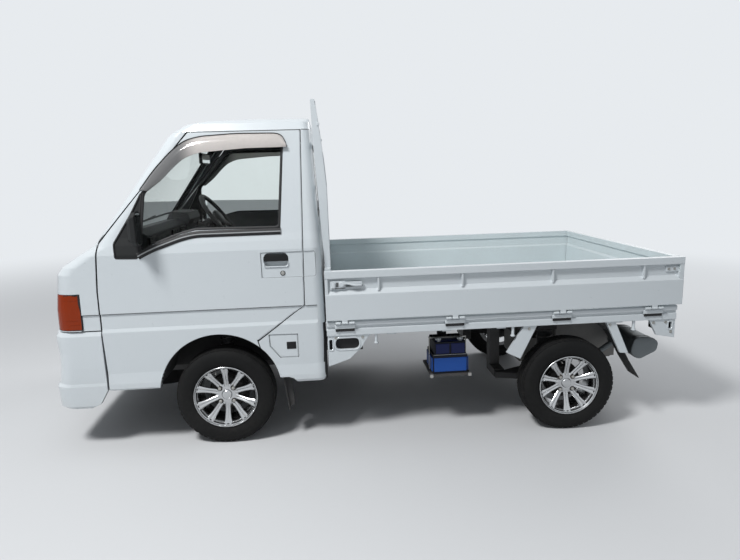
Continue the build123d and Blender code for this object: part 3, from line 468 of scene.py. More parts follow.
def piece(form, name, material, body, slot, edge=0.0, edge_steps=2, smooth=35):
    """Turns a form into a finished piece that rides on a body."""
    bmesh.ops.recalc_face_normals(form, faces=form.faces)
    mesh = bpy.data.meshes.new(name)
    form.to_mesh(mesh)
    form.free()
    mesh.transform(LEVEL)
    mesh.materials.append(material)
    for polygon in mesh.polygons:
        polygon.use_smooth = True
    mesh.set_sharp_from_angle(angle=math.radians(smooth))
    made = bpy.data.objects.new(name, mesh)
    bpy.context.scene.collection.objects.link(made)
    if edge:
        rounding = made.modifiers.new("rounded edges", "BEVEL")
        rounding.width = edge * MM
        rounding.segments = edge_steps
        rounding.limit_method = "ANGLE"
        rounding.angle_limit = math.radians(35)
        rounding.harden_normals = False
    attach(made, body)
    return made


def both_pieces(form, name, material, bodies, slot, **settings):
    """A left-hand piece and its mirror image, each on its own body."""
    other = mirrored(form)
    piece(form, name + "_left", material, bodies[0], slot, **settings)
    piece(other, name + "_right", material, bodies[1], slot, **settings)


def pair_piece(form, name, material, body, slot, **settings):
    """Left and right copies in one piece on one body."""
    other = mirrored(form)
    spare_mesh = bpy.data.meshes.new(name + "_pair")
    other.to_mesh(spare_mesh)
    other.free()
    form.from_mesh(spare_mesh)
    bpy.data.meshes.remove(spare_mesh)
    return piece(form, name, material, body, slot, **settings)


def skin_of(*names):
    """Ray target on CAD nodes, in the level drawing."""
    return skin_of_objects([frame["nodes"][name] for name in names])


def skin_of_objects(objects):
    """Ray target on any objects, in the level drawing."""
    back_to_level = LEVEL.inverted()
    points = []
    faces = []
    for target in objects:
        mesh = target.data
        start = len(points)
        points += [back_to_level @ v.co for v in mesh.vertices]
        faces += [[start + i for i in p.vertices] for p in mesh.polygons]
    return BVHTree.FromPolygons(points, faces)


def laid_on(skin, path, toward, lift=0.0):
    """Path points dropped along a direction onto a skin, with the skin's outward directions there."""
    spots = []
    outs = []
    way = Vector(toward)
    for spot in path:
        start = Vector(spot) - way * 2000
        hit, normal, _, _ = skin.ray_cast(start, way)
        if hit is None:
            hit, normal, _, _ = skin.find_nearest(Vector(spot))
        if normal.dot(way) > 0:
            normal = -normal
        spots.append(hit + normal * lift)
        outs.append(normal)
    return spots, outs


# Hexagon bolt heads with washers on the frame's brackets and crossmembers
def geometry_group(name, inputs, output):
    """Geometry node group: its tree, its input and output nodes, and the keys that set its inputs."""
    tree = bpy.data.node_groups.new(name, "GeometryNodeTree")
    keys = {}
    for socket_name, kind, value in inputs:
        socket = tree.interface.new_socket(socket_name, in_out="INPUT", socket_type="NodeSocket" + kind)
        if value is not None:
            socket.default_value = value
        keys[socket_name] = socket.identifier
    tree.interface.new_socket(output, in_out="OUTPUT", socket_type="NodeSocketGeometry")
    return tree, tree.nodes.new("NodeGroupInput"), tree.nodes.new("NodeGroupOutput"), keys


def finished_copies(tree, group_in, group_out, copies):
    """Ends a group: its instances are made real and given the group's finish."""
    real = node_in(tree, "GeometryNodeRealizeInstances", {"Geometry": copies.outputs["Instances"]})
    done = node_in(tree, "GeometryNodeSetMaterial", {
        "Geometry": real.outputs["Geometry"], "Material": group_in.outputs["Finish"],
    })
    feed(tree, group_out, {0: done.outputs["Geometry"]})


bolt_tree, bolt_in, bolt_out, bolt_keys = geometry_group("Bolt heads", (
    ("Points", "Geometry", None), ("Head Radius", "Float", 0.006), ("Head Height", "Float", 0.005),
    ("Washer Radius", "Float", 0.009), ("Finish", "Material", None),
), "Bolts")
bolt_head = node_in(bolt_tree, "GeometryNodeMeshCylinder", {
    "Vertices": 6, "Radius": bolt_in.outputs["Head Radius"], "Depth": bolt_in.outputs["Head Height"],
})
bolt_washer = node_in(bolt_tree, "GeometryNodeMeshCylinder", {
    "Vertices": 16, "Radius": bolt_in.outputs["Washer Radius"], "Depth": 0.0016,
})
bolt_rise = node_in(bolt_tree, "ShaderNodeCombineXYZ", {
    "Z": calc(bolt_tree, "MULTIPLY", bolt_in.outputs["Head Height"], 0.5),
})
bolt_lift = node_in(bolt_tree, "GeometryNodeTransform", {
    "Geometry": bolt_head.outputs["Mesh"], "Translation": bolt_rise.outputs[0],
})
bolt_join = node_in(bolt_tree, "GeometryNodeJoinGeometry")
for joined in (bolt_washer.outputs["Mesh"], bolt_lift.outputs["Geometry"]):
    feed(bolt_tree, bolt_join, {"Geometry": joined})
bolt_facing = node_in(
    bolt_tree, "GeometryNodeInputNamedAttribute", {"Name": "facing"}, data_type="FLOAT_VECTOR"
)
bolt_turn = node_in(
    bolt_tree, "FunctionNodeAlignRotationToVector", {"Vector": bolt_facing.outputs["Attribute"]}, axis="Z"
)
bolt_set = node_in(bolt_tree, "GeometryNodeInstanceOnPoints", {
    "Points": bolt_in.outputs["Points"], "Instance": bolt_join.outputs["Geometry"],
    "Rotation": bolt_turn.outputs["Rotation"],
})
finished_copies(bolt_tree, bolt_in, bolt_out, bolt_set)


def copies_at(name, spots, ways, tree, values, body):
    """A piece of the copies that a node group sets at points, each turned by its named directions."""
    places = bpy.data.meshes.new(name + "_places")
    places.from_pydata(spots, [], [])
    for way_name, directions in ways.items():
        attribute = places.attributes.new(way_name, "FLOAT_VECTOR", "POINT")
        for i, direction in enumerate(directions):
            attribute.data[i].vector = direction
    maker = bpy.data.objects.new(name + "_maker", places)
    bpy.context.scene.collection.objects.link(maker)
    nodes = maker.modifiers.new("copies", "NODES")
    nodes.node_group = tree
    for key, value in values.items():
        nodes[key] = value
    bpy.context.view_layer.update()
    mesh = bpy.data.meshes.new_from_object(maker.evaluated_get(bpy.context.evaluated_depsgraph_get()))
    mesh.name = name
    bpy.data.objects.remove(maker)
    for polygon in mesh.polygons:
        polygon.use_smooth = True
    mesh.set_sharp_from_angle(angle=math.radians(35))
    made = bpy.data.objects.new(name, mesh)
    bpy.context.scene.collection.objects.link(made)
    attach(made, body)


def bolts(name, places, head, material, body):
    """Bolt heads at level places, each with the way that it faces."""
    facing = [(LEVEL.to_3x3() @ Vector(way)).normalized() for _, way in places]
    copies_at(name, [LEVEL @ Vector(spot) for spot, _ in places], {"facing": facing}, bolt_tree, {
        bolt_keys["Head Radius"]: head * MM, bolt_keys["Head Height"]: head * 0.8 * MM,
        bolt_keys["Washer Radius"]: head * 1.45 * MM, bolt_keys["Finish"]: material,
    }, body)


zinc = finish(
    "Zinc-plated steel", (0.42, 0.42, 0.40), 0.38, metal=0.9, dust=0.35, dust_height=0.6, grain=300,
    depth=0.03, wear=0.3, worn_colour=(0.2, 0.11, 0.07), worn_metal=0.2,
)
CROSSMEMBER_X = (250, -380, -760, -1240, -1620, -2410)
frame_bolts = []
for bolt_x in CROSSMEMBER_X:
    rail_z = 350 if bolt_x > -500 else 520
    for side in (1, -1):
        for across in (-16, 16):
            frame_bolts.append(((bolt_x + across, side * 370, rail_z + 12), (0, side, 0)))
bolts("frame_bolts", frame_bolts, 8, zinc, "chassis")

# Wheels: ten-spoke cast alloy rims in silver lacquer, each held by four conical nuts on its drum, with
# a black radial tyre whose sidewall carries plain rings and whose tread has ribs and shoulder blocks.
WHEEL_PLACES = (
    ("front_left", 0.0, 642.5, 262.0, 1), ("front_right", 0.0, 642.5, 262.0, -1),
    ("rear_left", -1885.0, 645.0, 217.92, 1), ("rear_right", -1885.0, 645.0, 217.92, -1),
)
TYRE_SECTION = (
    (153, -58), (166, -58), (173, -63), (183, -68), (196, -71), (214, -72.5), (216, -72), (219, -72.3),
    (230, -70.6), (243, -66), (250, -60), (256, -52), (258, -42), (258, -39), (262, -37), (262, -20),
    (256, -19), (256, -13), (262, -12), (262, 12), (256, 13), (256, 19), (262, 20), (262, 37), (258, 39),
    (258, 42), (256, 52), (250, 60), (243, 66), (230, 70.6), (219, 72.3), (216, 72), (214, 72.5), (196, 71),
    (183, 68), (173, 63), (166, 58), (153, 58),
)
RIM_OUTSIDE = (
    (142, -66), (168, -66), (168, -62), (160, -59), (152.6, -56), (152.6, 54), (160, 59), (166, 62),
    (169, 65), (169, 67.5), (167.5, 69), (165.5, 68.5), (164, 66), (162, 61), (157, 55), (152, 48),
    (147, 40), (144, 0), (142, -60),
)
HUB_SECTION = (
    (14.2, -18), (30, -18), (58, -8), (61, 4), (61, 16), (59, 22), (54, 24.5), (36, 27), (28, 26), (27, 24),
    (26.5, 26), (26, 31), (23, 34), (12, 36), (0, 36.4),
)
# radius, face offset, half width, depth
SPOKE_STATIONS = (
    (36, 25, 15, 15), (58, 28.5, 14.5, 16), (80, 34, 14, 15), (104, 42, 14.4, 14), (126, 49.5, 16.5, 12),
    (142, 55, 19.5, 10), (158, 61, 23, 6),
)
NUT_CIRCLE = 50.0
NUTS = 4
SPOKES = 10
WHEEL_STEPS = 96
BEAD_RADIUS = 153
DRUM_SECTION = (
    (14.2, -34), (92, -34), (96, -30), (96, -24), (92, -22), (92, -8), (88, -2), (60, 4), (14.2, 4)
)
LUGS = 52
LUG_RADIUS = 257.4
LUG_OFFSET = 47

tyre_rubber = finish(
    "Tyre rubber", (0.0062, 0.0064, 0.0066), 0.8, dust=0.02, dust_height=0.62, drift=0.02, shine=0.14,
    grain=420, coarse=1.2, depth=0.08, wear=0.5, worn_colour=(0.05, 0.046, 0.042), reach=0.006,
)
silver_alloy = finish(
    "Silver wheel lacquer", (0.56, 0.57, 0.58), 0.17, metal=1.0, coat=0.3, dust=0.1, dust_height=0.6,
    grain=900, depth=0.01, wear=0.3, worn_colour=(0.33, 0.32, 0.31), worn_metal=0.8,
)
drum_iron = finish(
    "Brake drum iron", (0.014, 0.013, 0.012), 0.7, metal=0.3, dust=0.06, grain=260, depth=0.12, wear=0.6,
    worn_colour=(0.14, 0.07, 0.04), worn_metal=0.3,
)

# Tread blocks set round each shoulder
tread_tree, tread_in, tread_out, tread_keys = geometry_group("Tread blocks", (
    ("Places", "Geometry", None), ("Block Size", "Vector", (0.02, 0.024, 0.006)),
    ("Finish", "Material", None),
), "Blocks")
tread_block = node_in(tread_tree, "GeometryNodeMeshCube", {"Size": tread_in.outputs["Block Size"]})
tread_turn = None
for attribute, axis, pivot in (("facing", "Z", "AUTO"), ("across", "Y", "Z")):
    reading = node_in(
        tread_tree, "GeometryNodeInputNamedAttribute", {"Name": attribute}, data_type="FLOAT_VECTOR"
    )
    turn_inputs = {"Vector": reading.outputs["Attribute"]}
    if tread_turn:
        turn_inputs["Rotation"] = tread_turn.outputs["Rotation"]
    tread_turn = node_in(
        tread_tree, "FunctionNodeAlignRotationToVector", turn_inputs, axis=axis, pivot_axis=pivot
    )
tread_set = node_in(tread_tree, "GeometryNodeInstanceOnPoints", {
    "Points": tread_in.outputs["Places"], "Instance": tread_block.outputs["Mesh"],
    "Rotation": tread_turn.outputs["Rotation"],
})
finished_copies(tread_tree, tread_in, tread_out, tread_set)


def no_caps(form):
    """Takes the end caps off a turned form."""
    for face in [f for f in form.faces if len(f.verts) > 4]:
        form.faces.remove(face)


def ridged_spoke(form, turn):
    """One spoke: a bar with a shallow valley along its face, widening into the rim."""
    rings = []
    for radius, face, half, depth in SPOKE_STATIONS:
        ring = []
        for across, out in (
            (-1, -depth), (-1, -5.5), (-0.82, -2), (-0.55, 0), (-0.3, -1.6), (0, -4.6), (0.3, -1.6),
            (0.55, 0),
            (0.82, -2), (1, -5.5), (1, -depth),
        ):
            spot = Matrix.Rotation(turn, 3, "Y") @ Vector((across * half, face + out, radius))
            ring.append(form.verts.new(spot))
        rings.append(ring)
    sides = len(rings[0])
    for ring, following in zip(rings, rings[1:]):
        for i in range(sides):
            form.faces.new((ring[i - 1], ring[i], following[i], following[i - 1]))
    form.faces.new(rings[0])
    form.faces.new(list(reversed(rings[-1])))


for wheel_name, wheel_x, wheel_y, wheel_z, wheel_side in WHEEL_PLACES:
    wheel_body = "wheel_" + wheel_name
    to_place = Matrix.Translation((wheel_x, wheel_side * wheel_y, wheel_z))
    to_place = to_place @ Matrix.Scale(wheel_side, 4, (0, 1, 0))

    carcass = bmesh.new()
    spun(carcass, TYRE_SECTION, (0, 0, 0), WHEEL_STEPS)
    no_caps(carcass)
    inner_ring = [v for v in carcass.verts if abs(math.hypot(v.co.x, v.co.z) - BEAD_RADIUS) < 0.1]
    low_ring, high_ring = (
        sorted((v for v in inner_ring if v.co.y * way > 0), key=lambda v: math.atan2(v.co.z, v.co.x))
        for way in (-1, 1)
    )
    for i in range(len(low_ring)):
        carcass.faces.new((low_ring[i - 1], low_ring[i], high_ring[i], high_ring[i - 1]))
    carcass.transform(to_place)
    tyre_piece = piece(carcass, "road_tyre_" + wheel_name, tyre_rubber, wheel_body, "tyre", smooth=40)
    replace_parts(tyre_piece, "tyre_" + wheel_name)

    lug_spots = []
    lug_ways = []
    turn_only = LEVEL.to_3x3() @ to_place.to_3x3()
    for shoulder in (-1, 1):
        for i in range(LUGS):
            turn = math.tau * (i + shoulder * 0.25) / LUGS
            lug_out = Vector((math.cos(turn), shoulder * 0.16, math.sin(turn))).normalized()
            lug_at = Vector((LUG_RADIUS * math.cos(turn), shoulder * LUG_OFFSET, LUG_RADIUS * math.sin(turn)))
            lug_spots.append(LEVEL @ to_place @ lug_at)
            lug_ways.append((turn_only @ lug_out).normalized())
    copies_at(
        "tread_blocks_" + wheel_name, lug_spots, {"facing": lug_ways, "across": [(0, 1, 0)] * len(lug_ways)},
        tread_tree, {tread_keys["Block Size"]: (0.0235, 0.016, 0.0034), tread_keys["Finish"]: tyre_rubber},
        wheel_body,
    )

    casting = bmesh.new()
    spun(casting, RIM_OUTSIDE + RIM_OUTSIDE[:1], (0, 0, 0), WHEEL_STEPS)
    no_caps(casting)
    bmesh.ops.remove_doubles(casting, verts=casting.verts, dist=0.01)
    spun(casting, HUB_SECTION, (0, 0, 0), 60)
    no_caps(casting)
    for i in range(SPOKES):
        ridged_spoke(casting, math.tau * i / SPOKES)
    casting.transform(to_place)
    rim_piece = piece(casting, "alloy_rim_" + wheel_name, silver_alloy, wheel_body, "alloy", smooth=32)
    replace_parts(rim_piece, "rim_" + wheel_name)

    fixings = bmesh.new()
    for i in range(NUTS):
        nut_turn = math.tau * (i + 0.5) / NUTS
        nut_at = (NUT_CIRCLE * math.cos(nut_turn), 0, NUT_CIRCLE * math.sin(nut_turn))
        spun(fixings, ((9.5, 18), (9.5, 33), (8.2, 35), (5, 36.5), (0, 36.8)), nut_at, 6)
    valve_turn = math.radians(72)
    valve_at = Vector((143 * math.cos(valve_turn), 50, 143 * math.sin(valve_turn)))
    rod(
        fixings, [valve_at, valve_at + Vector((-4 * math.cos(valve_turn), 16, -4 * math.sin(valve_turn)))],
        3.2, 8
    )
    fixings.transform(to_place)
    piece(fixings, "wheel_nuts_" + wheel_name, zinc, wheel_body, "steel", smooth=25)

    drum = bmesh.new()
    spun(drum, DRUM_SECTION, (0, 0, 0), 48)
    for i in range(NUTS):
        seat_turn = math.tau * (i + 0.5) / NUTS
        seat_at = (NUT_CIRCLE * math.cos(seat_turn), 0, NUT_CIRCLE * math.sin(seat_turn))
        spun(drum, ((14, 24.5), (14, 27.6), (10, 27.6)), seat_at, 16)
    drum.transform(to_place)
    piece(drum, "brake_drum_" + wheel_name, drum_iron, wheel_body, "iron", smooth=30)

# Cab shell: pressed and spot-welded steel panels in slightly cool white enamel with a clear gloss.
# Underneath and in the wheelhouses it has black stone-chip underseal; inside are grey trims and lining.
HALF_WIDTHS = (
    (646, 722), (1047, 722), (1092, 714), (1130, 704), (1620, 607), (1644, 602), (1684, 582), (1698, 556),
    (1710, 490),
)
DOOR_EDGE = (
    (589, 334), (593, 640), (589, 864), (580, 978), (569, 1103), (105, 1641), (-461, 1641), (-450, 1103),
    (-443, 750), (-190, 568), (-252, 334),
)
WINDOW_EDGE = (
    (-342, 1153), (-375, 1598), (95, 1598), (345, 1350), (374, 1027), (296, 1093), (157, 1139), (84, 1155),
)
SCREEN_EDGE = (
    (600, 1106), (618, 1116), (545, 1622), (525, 1634), (-525, 1634), (-545, 1622), (-618, 1116),
    (-600, 1106),
)
REAR_EDGE = (
    (440, 1180), (470, 1190), (450, 1560), (430, 1575), (-430, 1575), (-450, 1560), (-470, 1190),
    (-440, 1180),
)

body_white = finish(
    "White body enamel", (0.585, 0.63, 0.655), 0.3, coat=0.7, dust=0.22, dust_height=0.42, drift=0.05,
    grain=320, coarse=0.2, depth=0.012, rounded=0.004,
)
underseal = finish(
    "Black underseal", (0.009, 0.009, 0.01), 0.9, dust=0.06, dust_height=0.7, grain=160, coarse=0.6,
    depth=0.6,
)
trim_grey = finish(
    "Grey moulded trim", (0.045, 0.047, 0.05), 0.66, dust=0.02, grain=1500, depth=0.08, wear=0.2,
    worn_colour=(0.16, 0.16, 0.16),
)
lining = finish(
    "Roof lining board", (0.12, 0.12, 0.117), 0.85, dust=0.0, drift=0.15, grain=900, coarse=0.5, depth=0.15
)
black_rubber = finish(
    "Black window rubber", (0.01, 0.01, 0.011), 0.55, dust=0.03, drift=0.02, shine=0.35, grain=700,
    depth=0.04, wear=0.2, worn_colour=(0.06, 0.06, 0.06),
)
# Near-black for gaps, grooves and holes: painted shade where they lie in shadow
painted_gap_shade = finish("Painted gap shade", (0.07, 0.074, 0.078), 0.7, dust=0.1, grain=500, depth=0.05)


def edge_distance(spot, outline):
    """Distance from a spot to a closed outline."""
    nearest = 1e9
    for i in range(len(outline)):
        a = Vector(outline[i - 1])
        b = Vector(outline[i])
        share = max(0.0, min(1.0, (Vector(spot) - a).dot(b - a) / (b - a).length_squared))
        nearest = min(nearest, (Vector(spot) - a.lerp(b, share)).length)
    return nearest


def part_dress(names, finishes, choose):
    """Gives CAD nodes several finishes, chosen from each face's level centre and direction."""
    back_to_level = LEVEL.inverted()
    turn_back = back_to_level.to_3x3()
    for name in names:
        mesh = frame["nodes"][name].data
        mesh.materials.clear()
        for material in finishes:
            mesh.materials.append(material)
        for polygon in mesh.polygons:
            way = (turn_back @ polygon.normal).normalized()
            polygon.material_index = choose(back_to_level @ polygon.center, way)


def shell_finish(spot, way):
    """0 body enamel, 1 window rubber, 2 painted shade on the faces of the door's gap, 3 grey trim inside, 4
    underseal, 5 roof lining.
    """
    side_cut = abs(way.y) < 0.6
    inside = abs(spot.y) < half_width(spot.z) - 20
    if side_cut and edge_distance((spot.x, spot.z), WINDOW_EDGE) < 7 and abs(spot.y) > 500:
        return 1
    # Faces of the door's gap: painted shade
    if side_cut and edge_distance((spot.x, spot.z), DOOR_EDGE) < 11 and abs(spot.y) > 500:
        return 2
    if abs(way.x) < 0.75 and spot.x > 100 and edge_distance((spot.y, spot.z), SCREEN_EDGE) < 7:
        return 1
    if abs(way.x) < 0.75 and spot.x < -440 and edge_distance((spot.y, spot.z), REAR_EDGE) < 7:
        return 1
    if inside and spot.z < 640 and spot.x < 740:
        return 4
    if inside and way.y * math.copysign(1, spot.y) < -0.4 and spot.z > 640:
        return 3
    if spot.x < -480 and way.x > 0.5 and spot.z > 620:
        return 3
    if way.z < -0.5 and spot.z > 1620:
        return 5
    return 0


def half_width(z):
    """Half width of the cab at a height."""
    for (low, low_half), (high, high_half) in zip(HALF_WIDTHS, HALF_WIDTHS[1:]):
        if low <= z <= high:
            return low_half + (high_half - low_half) * (z - low) / (high - low)
    return HALF_WIDTHS[0][1] if z < HALF_WIDTHS[0][0] else HALF_WIDTHS[-1][1]


SHELL_FINISHES = (body_white, black_rubber, painted_gap_shade, trim_grey, underseal, lining)
part_dress(
    ("cab_back_panel", "rear_quarters", "roof_panel", "front_panel", "door_left", "door_right"),
    SHELL_FINISHES,
    shell_finish,
)
part_dress(("cab_floor",), (underseal, trim_grey), lambda spot, way: 1 if way.z > 0.5 and spot.z > 400 else 0)
dress(body_white, "front_bumper", "fuel_door")

# Painted shade line where the roof meets the quarters, behind the top of each door
cab_skin = skin_of("roof_panel", "rear_quarters", "door_left", "front_panel", "cab_back_panel")
joint_path = fine([(-468, 720, 1644.5), (-505, 720, 1644.5)], 12)
joint = strip(laid_on(cab_skin, joint_path, (0, -1, 0)), ((-2, -1), (-2, 0.4), (2, 0.4), (2, -1)))
pair_piece(joint, "roof_joint_shade_line", painted_gap_shade, "chassis", "paint_under")

# Rubber round the windscreen and the rear window, set over the edge of the glass
glass_skin = skin_of("cab_windows")
GASKET_SECTION = ((-10, 0.2), (-10, 4), (-6, 6.5), (6, 6.5), (10, 3), (10, 0.2))
for gasket_name, outline, toward in (
    ("windscreen", SCREEN_EDGE, (-1, 0, 0)), ("rear_window", REAR_EDGE, (1, 0, 0)),
):
    middle = Vector((0, sum(p[0] for p in outline) / len(outline), sum(p[1] for p in outline) / len(outline)))
    around = []
    for y, z in outline:
        spot = Vector((0, y, z))
        around.append(spot + (middle - spot).normalized() * 13)
    around = fine(bent(around, 45, 6, closed=True), 40, closed=True)
    gasket = strip(laid_on(glass_skin, around, toward), GASKET_SECTION, True)
    piece(gasket, gasket_name + "_rubber", black_rubber, "chassis", "rubber", smooth=50)

# Clear safety glass
safety_glass, glass_tree, glass_shader = shaded("Clear safety glass")
glass_film = placed_group(
    safety_glass, road_film, Color=(0.93, 0.965, 0.95, 1), Dust=0.1, Dust_Height=1.9, Drift=0.05
)
glass_smear = calc(glass_tree, "MULTIPLY", glass_film.outputs["Dust"], 0.25)
feed(glass_tree, glass_shader, {
    "Transmission Weight": 1.0, "IOR": 1.12, "Base Color": glass_film.outputs["Color"],
    "Roughness": calc(glass_tree, "ADD", glass_smear, 0.01),
})
dress(safety_glass, "cab_windows", "door_glass_left", "door_glass_right")

# Wipers: two black arms from the scuttle with rubber blades lying along the foot of the windscreen
wiper = bmesh.new()
for pivot_y in (-110, 430):
    blade_path = [(0, pivot_y - 40 - 420 * t, 1150 + 26 * t) for t in (0, 0.25, 0.5, 0.75, 1)]
    blade_spots, blade_outs = laid_on(glass_skin, blade_path, (-1, 0, 0), lift=7)
    loop_on(wiper, blade_spots, blade_outs, ((-4, -6), (-1.2, -6), (-4, 3), (4, 3), (1.2, -6)))
    arm_path = [(0, pivot_y, 1112), (0, pivot_y - 60, 1136), (0, pivot_y - 250, 1163)]
    arm_spots, arm_outs = laid_on(skin_of("cab_windows", "front_panel"), arm_path, (-1, 0, 0), lift=17)
    loop_on(wiper, arm_spots, arm_outs, ((-5, -2), (-5, 3), (5, 3), (5, -2)))
    spun(wiper, ((13, -14), (13, 5), (9, 9), (0, 10)), arm_spots[0], 16, axis="X")
wiper_black = finish(
    "Satin black wiper", (0.008, 0.008, 0.009), 0.42, dust=0.02, drift=0.02, shine=0.25, grain=900,
    depth=0.02,
)
piece(wiper, "windscreen_wipers", wiper_black, "chassis", "black_plastic", smooth=40)

# Front of the cab: the outline of a service lid below the windscreen, a thin strip of painted shade where its
# gap is
front_skin = skin_of("front_panel", "front_bumper", "headlights")
lid_outline = bent([(0, -520, 985), (0, 520, 985), (0, 540, 1050), (0, -540, 1050)], 14, 4, closed=True)
lid_path = laid_on(front_skin, fine(lid_outline, 45, closed=True), (-1, 0, 0))
lid = strip(lid_path, ((-1.6, -1), (-1.6, 0.35), (1.6, 0.35), (1.6, -1)), True)
piece(lid, "service_lid_gap_shade", painted_gap_shade, "chassis", "paint_under")

# Door fittings: black rubber mouldings at the waist and window edge, and a pull lever set in a pressed cup.
# A smoked acrylic rain visor is taped over each window.
DOORS = ("door_left", "door_right")
CAB_SIDE = 722.0
BAND_IN = 7.0
WINDOW_RUN = (
    (374, 1027), (345, 1350), (95, 1598), (-375, 1598), (-342, 1153), (84, 1155), (157, 1139), (296, 1093)
)


def on_side(path, lift=0.0):
    """Side-view points set on the cab's side surface, with the surface's outward directions."""
    spots = []
    outs = []
    for x, z in path:
        slope = (half_width(z + 2) - half_width(z - 2)) / 4
        out = Vector((0, 1, -slope)).normalized()
        spots.append(Vector((x, half_width(z), z)) + out * lift)
        outs.append(out)
    return spots, outs


def flat_path(path, radius, step, steps=5, closed=False):
    """Side-view outline with rounded corners and close points."""
    rounded_path = bent([(x, 0, z) for x, z in path], radius, steps, closed)
    return [(p.x, p.z) for p in fine(rounded_path, step, closed)]


bright_strip = finish(
    "Anodised strip", (0.33, 0.34, 0.345), 0.38, metal=0.6, dust=0.12, grain=700, depth=0.02
)
WAIST_LINE = ((-343, 1137), (82, 1136), (154, 1122), (292, 1076), (371, 1039))
waist_path = on_side(flat_path(WAIST_LINE, 60, 40))
waist = strip(waist_path, ((-17, -12), (-17, 3), (-13, 6.5), (13, 6.5), (17, 3), (17, -12)))
both_pieces(waist, "waist_moulding", black_rubber, DOORS, "rubber", smooth=50)
bead = strip(waist_path, ((-4, 6), (-3, 8), (2, 8), (3, 6)))
both_pieces(bead, "waist_strip", bright_strip, DOORS, "steel", smooth=50)

middle = Vector((0, 1300))
run_path = [(Vector(p) + (middle - Vector(p)).normalized() * 6)[:] for p in WINDOW_RUN]
run_path = on_side(flat_path(run_path, 22, 60, closed=True), lift=-13.5)
run = strip(run_path, ((-9, 0), (-9, 9), (-5, 11.5), (5, 11.5), (9, 9), (9, 0)), True)
both_pieces(run, "window_channel", black_rubber, DOORS, "rubber", smooth=50)

# Pull lever in the upper half of its cup, the cup's lip and the key lock below it
lever = bmesh.new()
plate(lever, flat_path(((-374, 984), (-248, 984), (-248, 1020), (-374, 1020)), 9, 40, 4, True), 699, 715)
lever_black = finish(
    "Satin black lever", (0.006, 0.0062, 0.0065), 0.34, coat=0.05, dust=0.01, drift=0.02, shine=0.3,
    grain=1500, depth=0.03, wear=0.4, worn_colour=(0.05, 0.05, 0.05), reach=0.002,
)
both_pieces(lever, "door_lever", lever_black, DOORS, "black_plastic", edge=3)
cup_path = on_side(flat_path(((-372, 978), (-372, 957), (-250, 957), (-250, 978)), 16, 30, 5))
cup = strip(cup_path, ((-3, -6), (-2.2, 0.8), (0, 1.8), (2.2, 0.8), (3, -6)))
both_pieces(cup, "handle_cup_lip", body_white, DOORS, "paint", smooth=60)
lock = bmesh.new()
LOCK_AT = (-342, 718, 922)
spun(lock, ((13, -2), (13, 2.2), (11, 3.4), (10.4, 1.2), (0, 0.8)), LOCK_AT, 24)
both_pieces(lock, "lock_ring", wiper_black, DOORS, "black_plastic", smooth=40)
lock_face = bmesh.new()
spun(lock_face, ((9.6, 0.4), (9.6, 2.4), (8.4, 3.2), (0, 3.2)), LOCK_AT, 20)
cuboid(lock_face, -343.2, -340.8, 720.9, 721.8, 916, 928)
both_pieces(lock_face, "lock_face", zinc, DOORS, "steel", smooth=40)

# Flanges that narrow the door's seam, and painted shadow lines where the pressings turn in
flange_line = fine(bent([
    (566, 0, 1104), (102.5, 0, 1639.6), (-459.6, 0, 1639.6), (-448.6, 0, 1103), (-441.6, 0, 751),
    (-196, 0, 574.6),
], 6, 3), 60)
door_middle = Vector((0, 0, 1100))
inner_line = [p + (door_middle - p).normalized() * 6 for p in flange_line]
flange_spots, flange_outs = laid_on(skin_of("door_left"), inner_line, (0, -1, 0), lift=-1.2)
for i, out in enumerate(flange_outs):
    shift = flange_line[i] - inner_line[i]
    shift.y = -(out.x * shift.x + out.z * shift.z) / max(out.y, 0.5)
    flange_spots[i] += shift
door_flange = strip((flange_spots, flange_outs), ((-1.7, -7), (-1.7, 0), (1.7, 0), (1.7, -7)))
both_pieces(door_flange, "door_flange", body_white, DOORS, "paint")
press_shadow_line = finish("Shadow line", (0.12, 0.125, 0.13), 0.8, dust=0.02, grain=500, depth=0.02)
LINE = ((-0.9, -0.6), (-0.9, 0.35), (0.9, 0.35), (0.9, -0.6))
BAND_LINE = ((-2.2, -0.6), (-2.2, 0.35), (2.2, 0.35), (2.2, -0.6))
EMBOSS_IN = 4.0


def pressed_shadow_lines(emboss, bands):
    """Painted shadow lines on the cab's flat side: round the handle's recess, and along the band below it."""
    path = flat_path(emboss, 14, 40)
    form = strip(
        ([Vector((x, CAB_SIDE - EMBOSS_IN, z)) for x, z in path], [Vector((0, 1, 0))] * len(path)), LINE
    )
    for ends in bands:
        band = [Vector((x, CAB_SIDE - BAND_IN, 745.4)) for x in ends]
        loop_on(form, band, [Vector((0, 1, 0))] * 2, BAND_LINE)
    return form


door_lines = pressed_shadow_lines(((-446, 1031.5), (-235, 1031.5), (-235, 900.5), (-440, 900.5)), ((584, -437),))
both_pieces(door_lines, "door_shadow_lines", press_shadow_line, DOORS, "paint_under")
cab_lines = pressed_shadow_lines(
    ((-456, 1031.5), (-511, 1031.5), (-511, 900.5), (-449, 900.5)), ((688, 596), (-449, -508)),
)
pair_piece(cab_lines, "cab_shadow_lines", press_shadow_line, "chassis", "paint_under")

# Rain visor, rebuilt as a curved sheet: it leaves the door along its top and stands off it at the lip
VISOR_TOP_LINE = (
    (350, 1364), (278, 1460), (190, 1551), (120, 1602), (45, 1620), (-138, 1630), (-338, 1627),
    (-370, 1615), (-386, 1580),
)
VISOR_LIP_LINE = (
    (306, 1354), (238, 1404), (172, 1470), (124, 1510), (54, 1536), (-178, 1552), (-300, 1553),
    (-345, 1553), (-390, 1554),
)
VISOR_RISE = (0.0, 9.0, 15.0, 19.0, 21.5, 22.5, 22.5, 21.0, 19.0)


